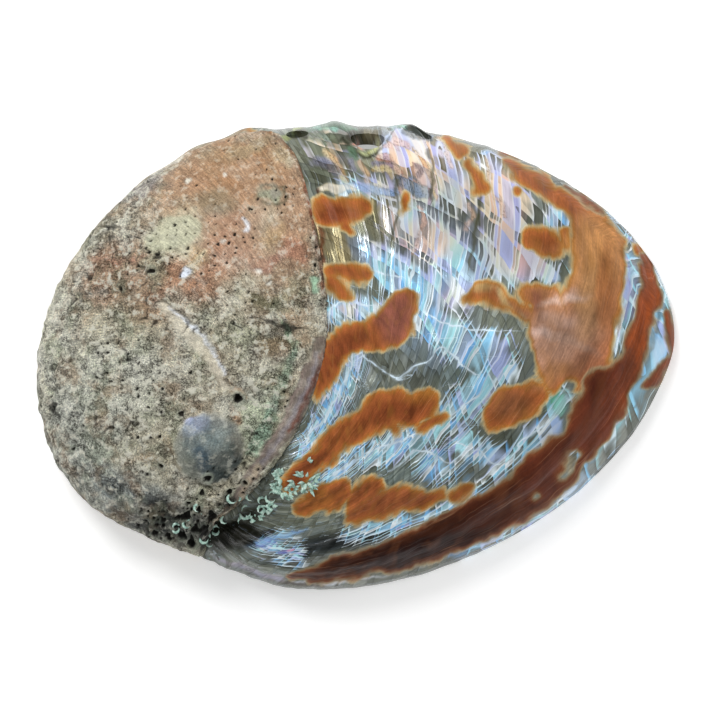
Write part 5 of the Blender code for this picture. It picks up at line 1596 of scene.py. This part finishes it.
# The floor.
# A plain pale tabletop of matt card, lit as softly as the shell.
FLOOR_HALF = 3.0
FLOOR_DROP = 0.05
bpy.ops.mesh.primitive_plane_add(size=2 * FLOOR_HALF, location=(0, 0, -FLOOR_DROP * MM))
floor = bpy.context.object
floor.name = "floor"
material, tree, shader = new_material("matt_white_card")
shader.inputs["Base Color"].default_value = (*linear("#f7f7f7"), 1.0)
shader.inputs["Roughness"].default_value = 0.9
shader.inputs["Emission Color"].default_value = (1.0, 1.0, 1.0, 1.0)
shader.inputs["Emission Strength"].default_value = 0.35
floor.data.materials.append(material)

# The light and the camera.
# Soft boxes round a shell on a pale table, and a camera that looks straight down on it, as the picture was
# taken, from so far off that no part of the shell looks nearer than another.
LIT_POINT = (0.0, 0.0, 0.02)
WORLD_STRENGTH = 0.24
SOFT_BOXES = [
    ("key", (-0.38, 0.52, 0.72), 0.45, 6.4), ("right", (0.72, 0.15, 0.6), 0.6, 1.6),
    ("low", (0.05, -0.7, 0.6), 0.6, 1.2), ("top", (0.05, 0.02, 1.05), 0.6, 0.8),
]
for name, place, size, power in SOFT_BOXES:
    light = bpy.data.lights.new(name, "AREA")
    light.shape = "DISK"
    light.size = size
    light.energy = power
    lamp = bpy.data.objects.new(name, light)
    lamp.location = place
    aim = np.array(LIT_POINT) - np.array(place)
    lamp.rotation_euler = (
        math.acos(-aim[2] / np.linalg.norm(aim)),
        0.0,
        math.atan2(aim[1], aim[0]) - math.radians(90),
    )
    bpy.context.scene.collection.objects.link(lamp)

world = bpy.data.worlds.new("studio")
bpy.context.scene.world = world
world.use_nodes = True
world.node_tree.nodes["Background"].inputs["Color"].default_value = (1.0, 1.0, 1.0, 1.0)
world.node_tree.nodes["Background"].inputs["Strength"].default_value = WORLD_STRENGTH
bpy.context.scene.view_settings.view_transform = "Standard"

PICTURE_SIDE = 713
CAMERA_HEIGHT = 1.5
camera = bpy.data.objects.new("camera", bpy.data.cameras.new("camera"))
camera.data.type = "ORTHO"
camera.data.ortho_scale = PICTURE_SIDE * PIXEL * MM
camera.location = (
    (PICTURE_SIDE / 2 - PICTURE_MIDDLE[0]) * PIXEL * MM,
    (PICTURE_MIDDLE[1] - PICTURE_SIDE / 2) * PIXEL * MM,
    CAMERA_HEIGHT,
)
bpy.context.scene.collection.objects.link(camera)
bpy.context.scene.camera = camera
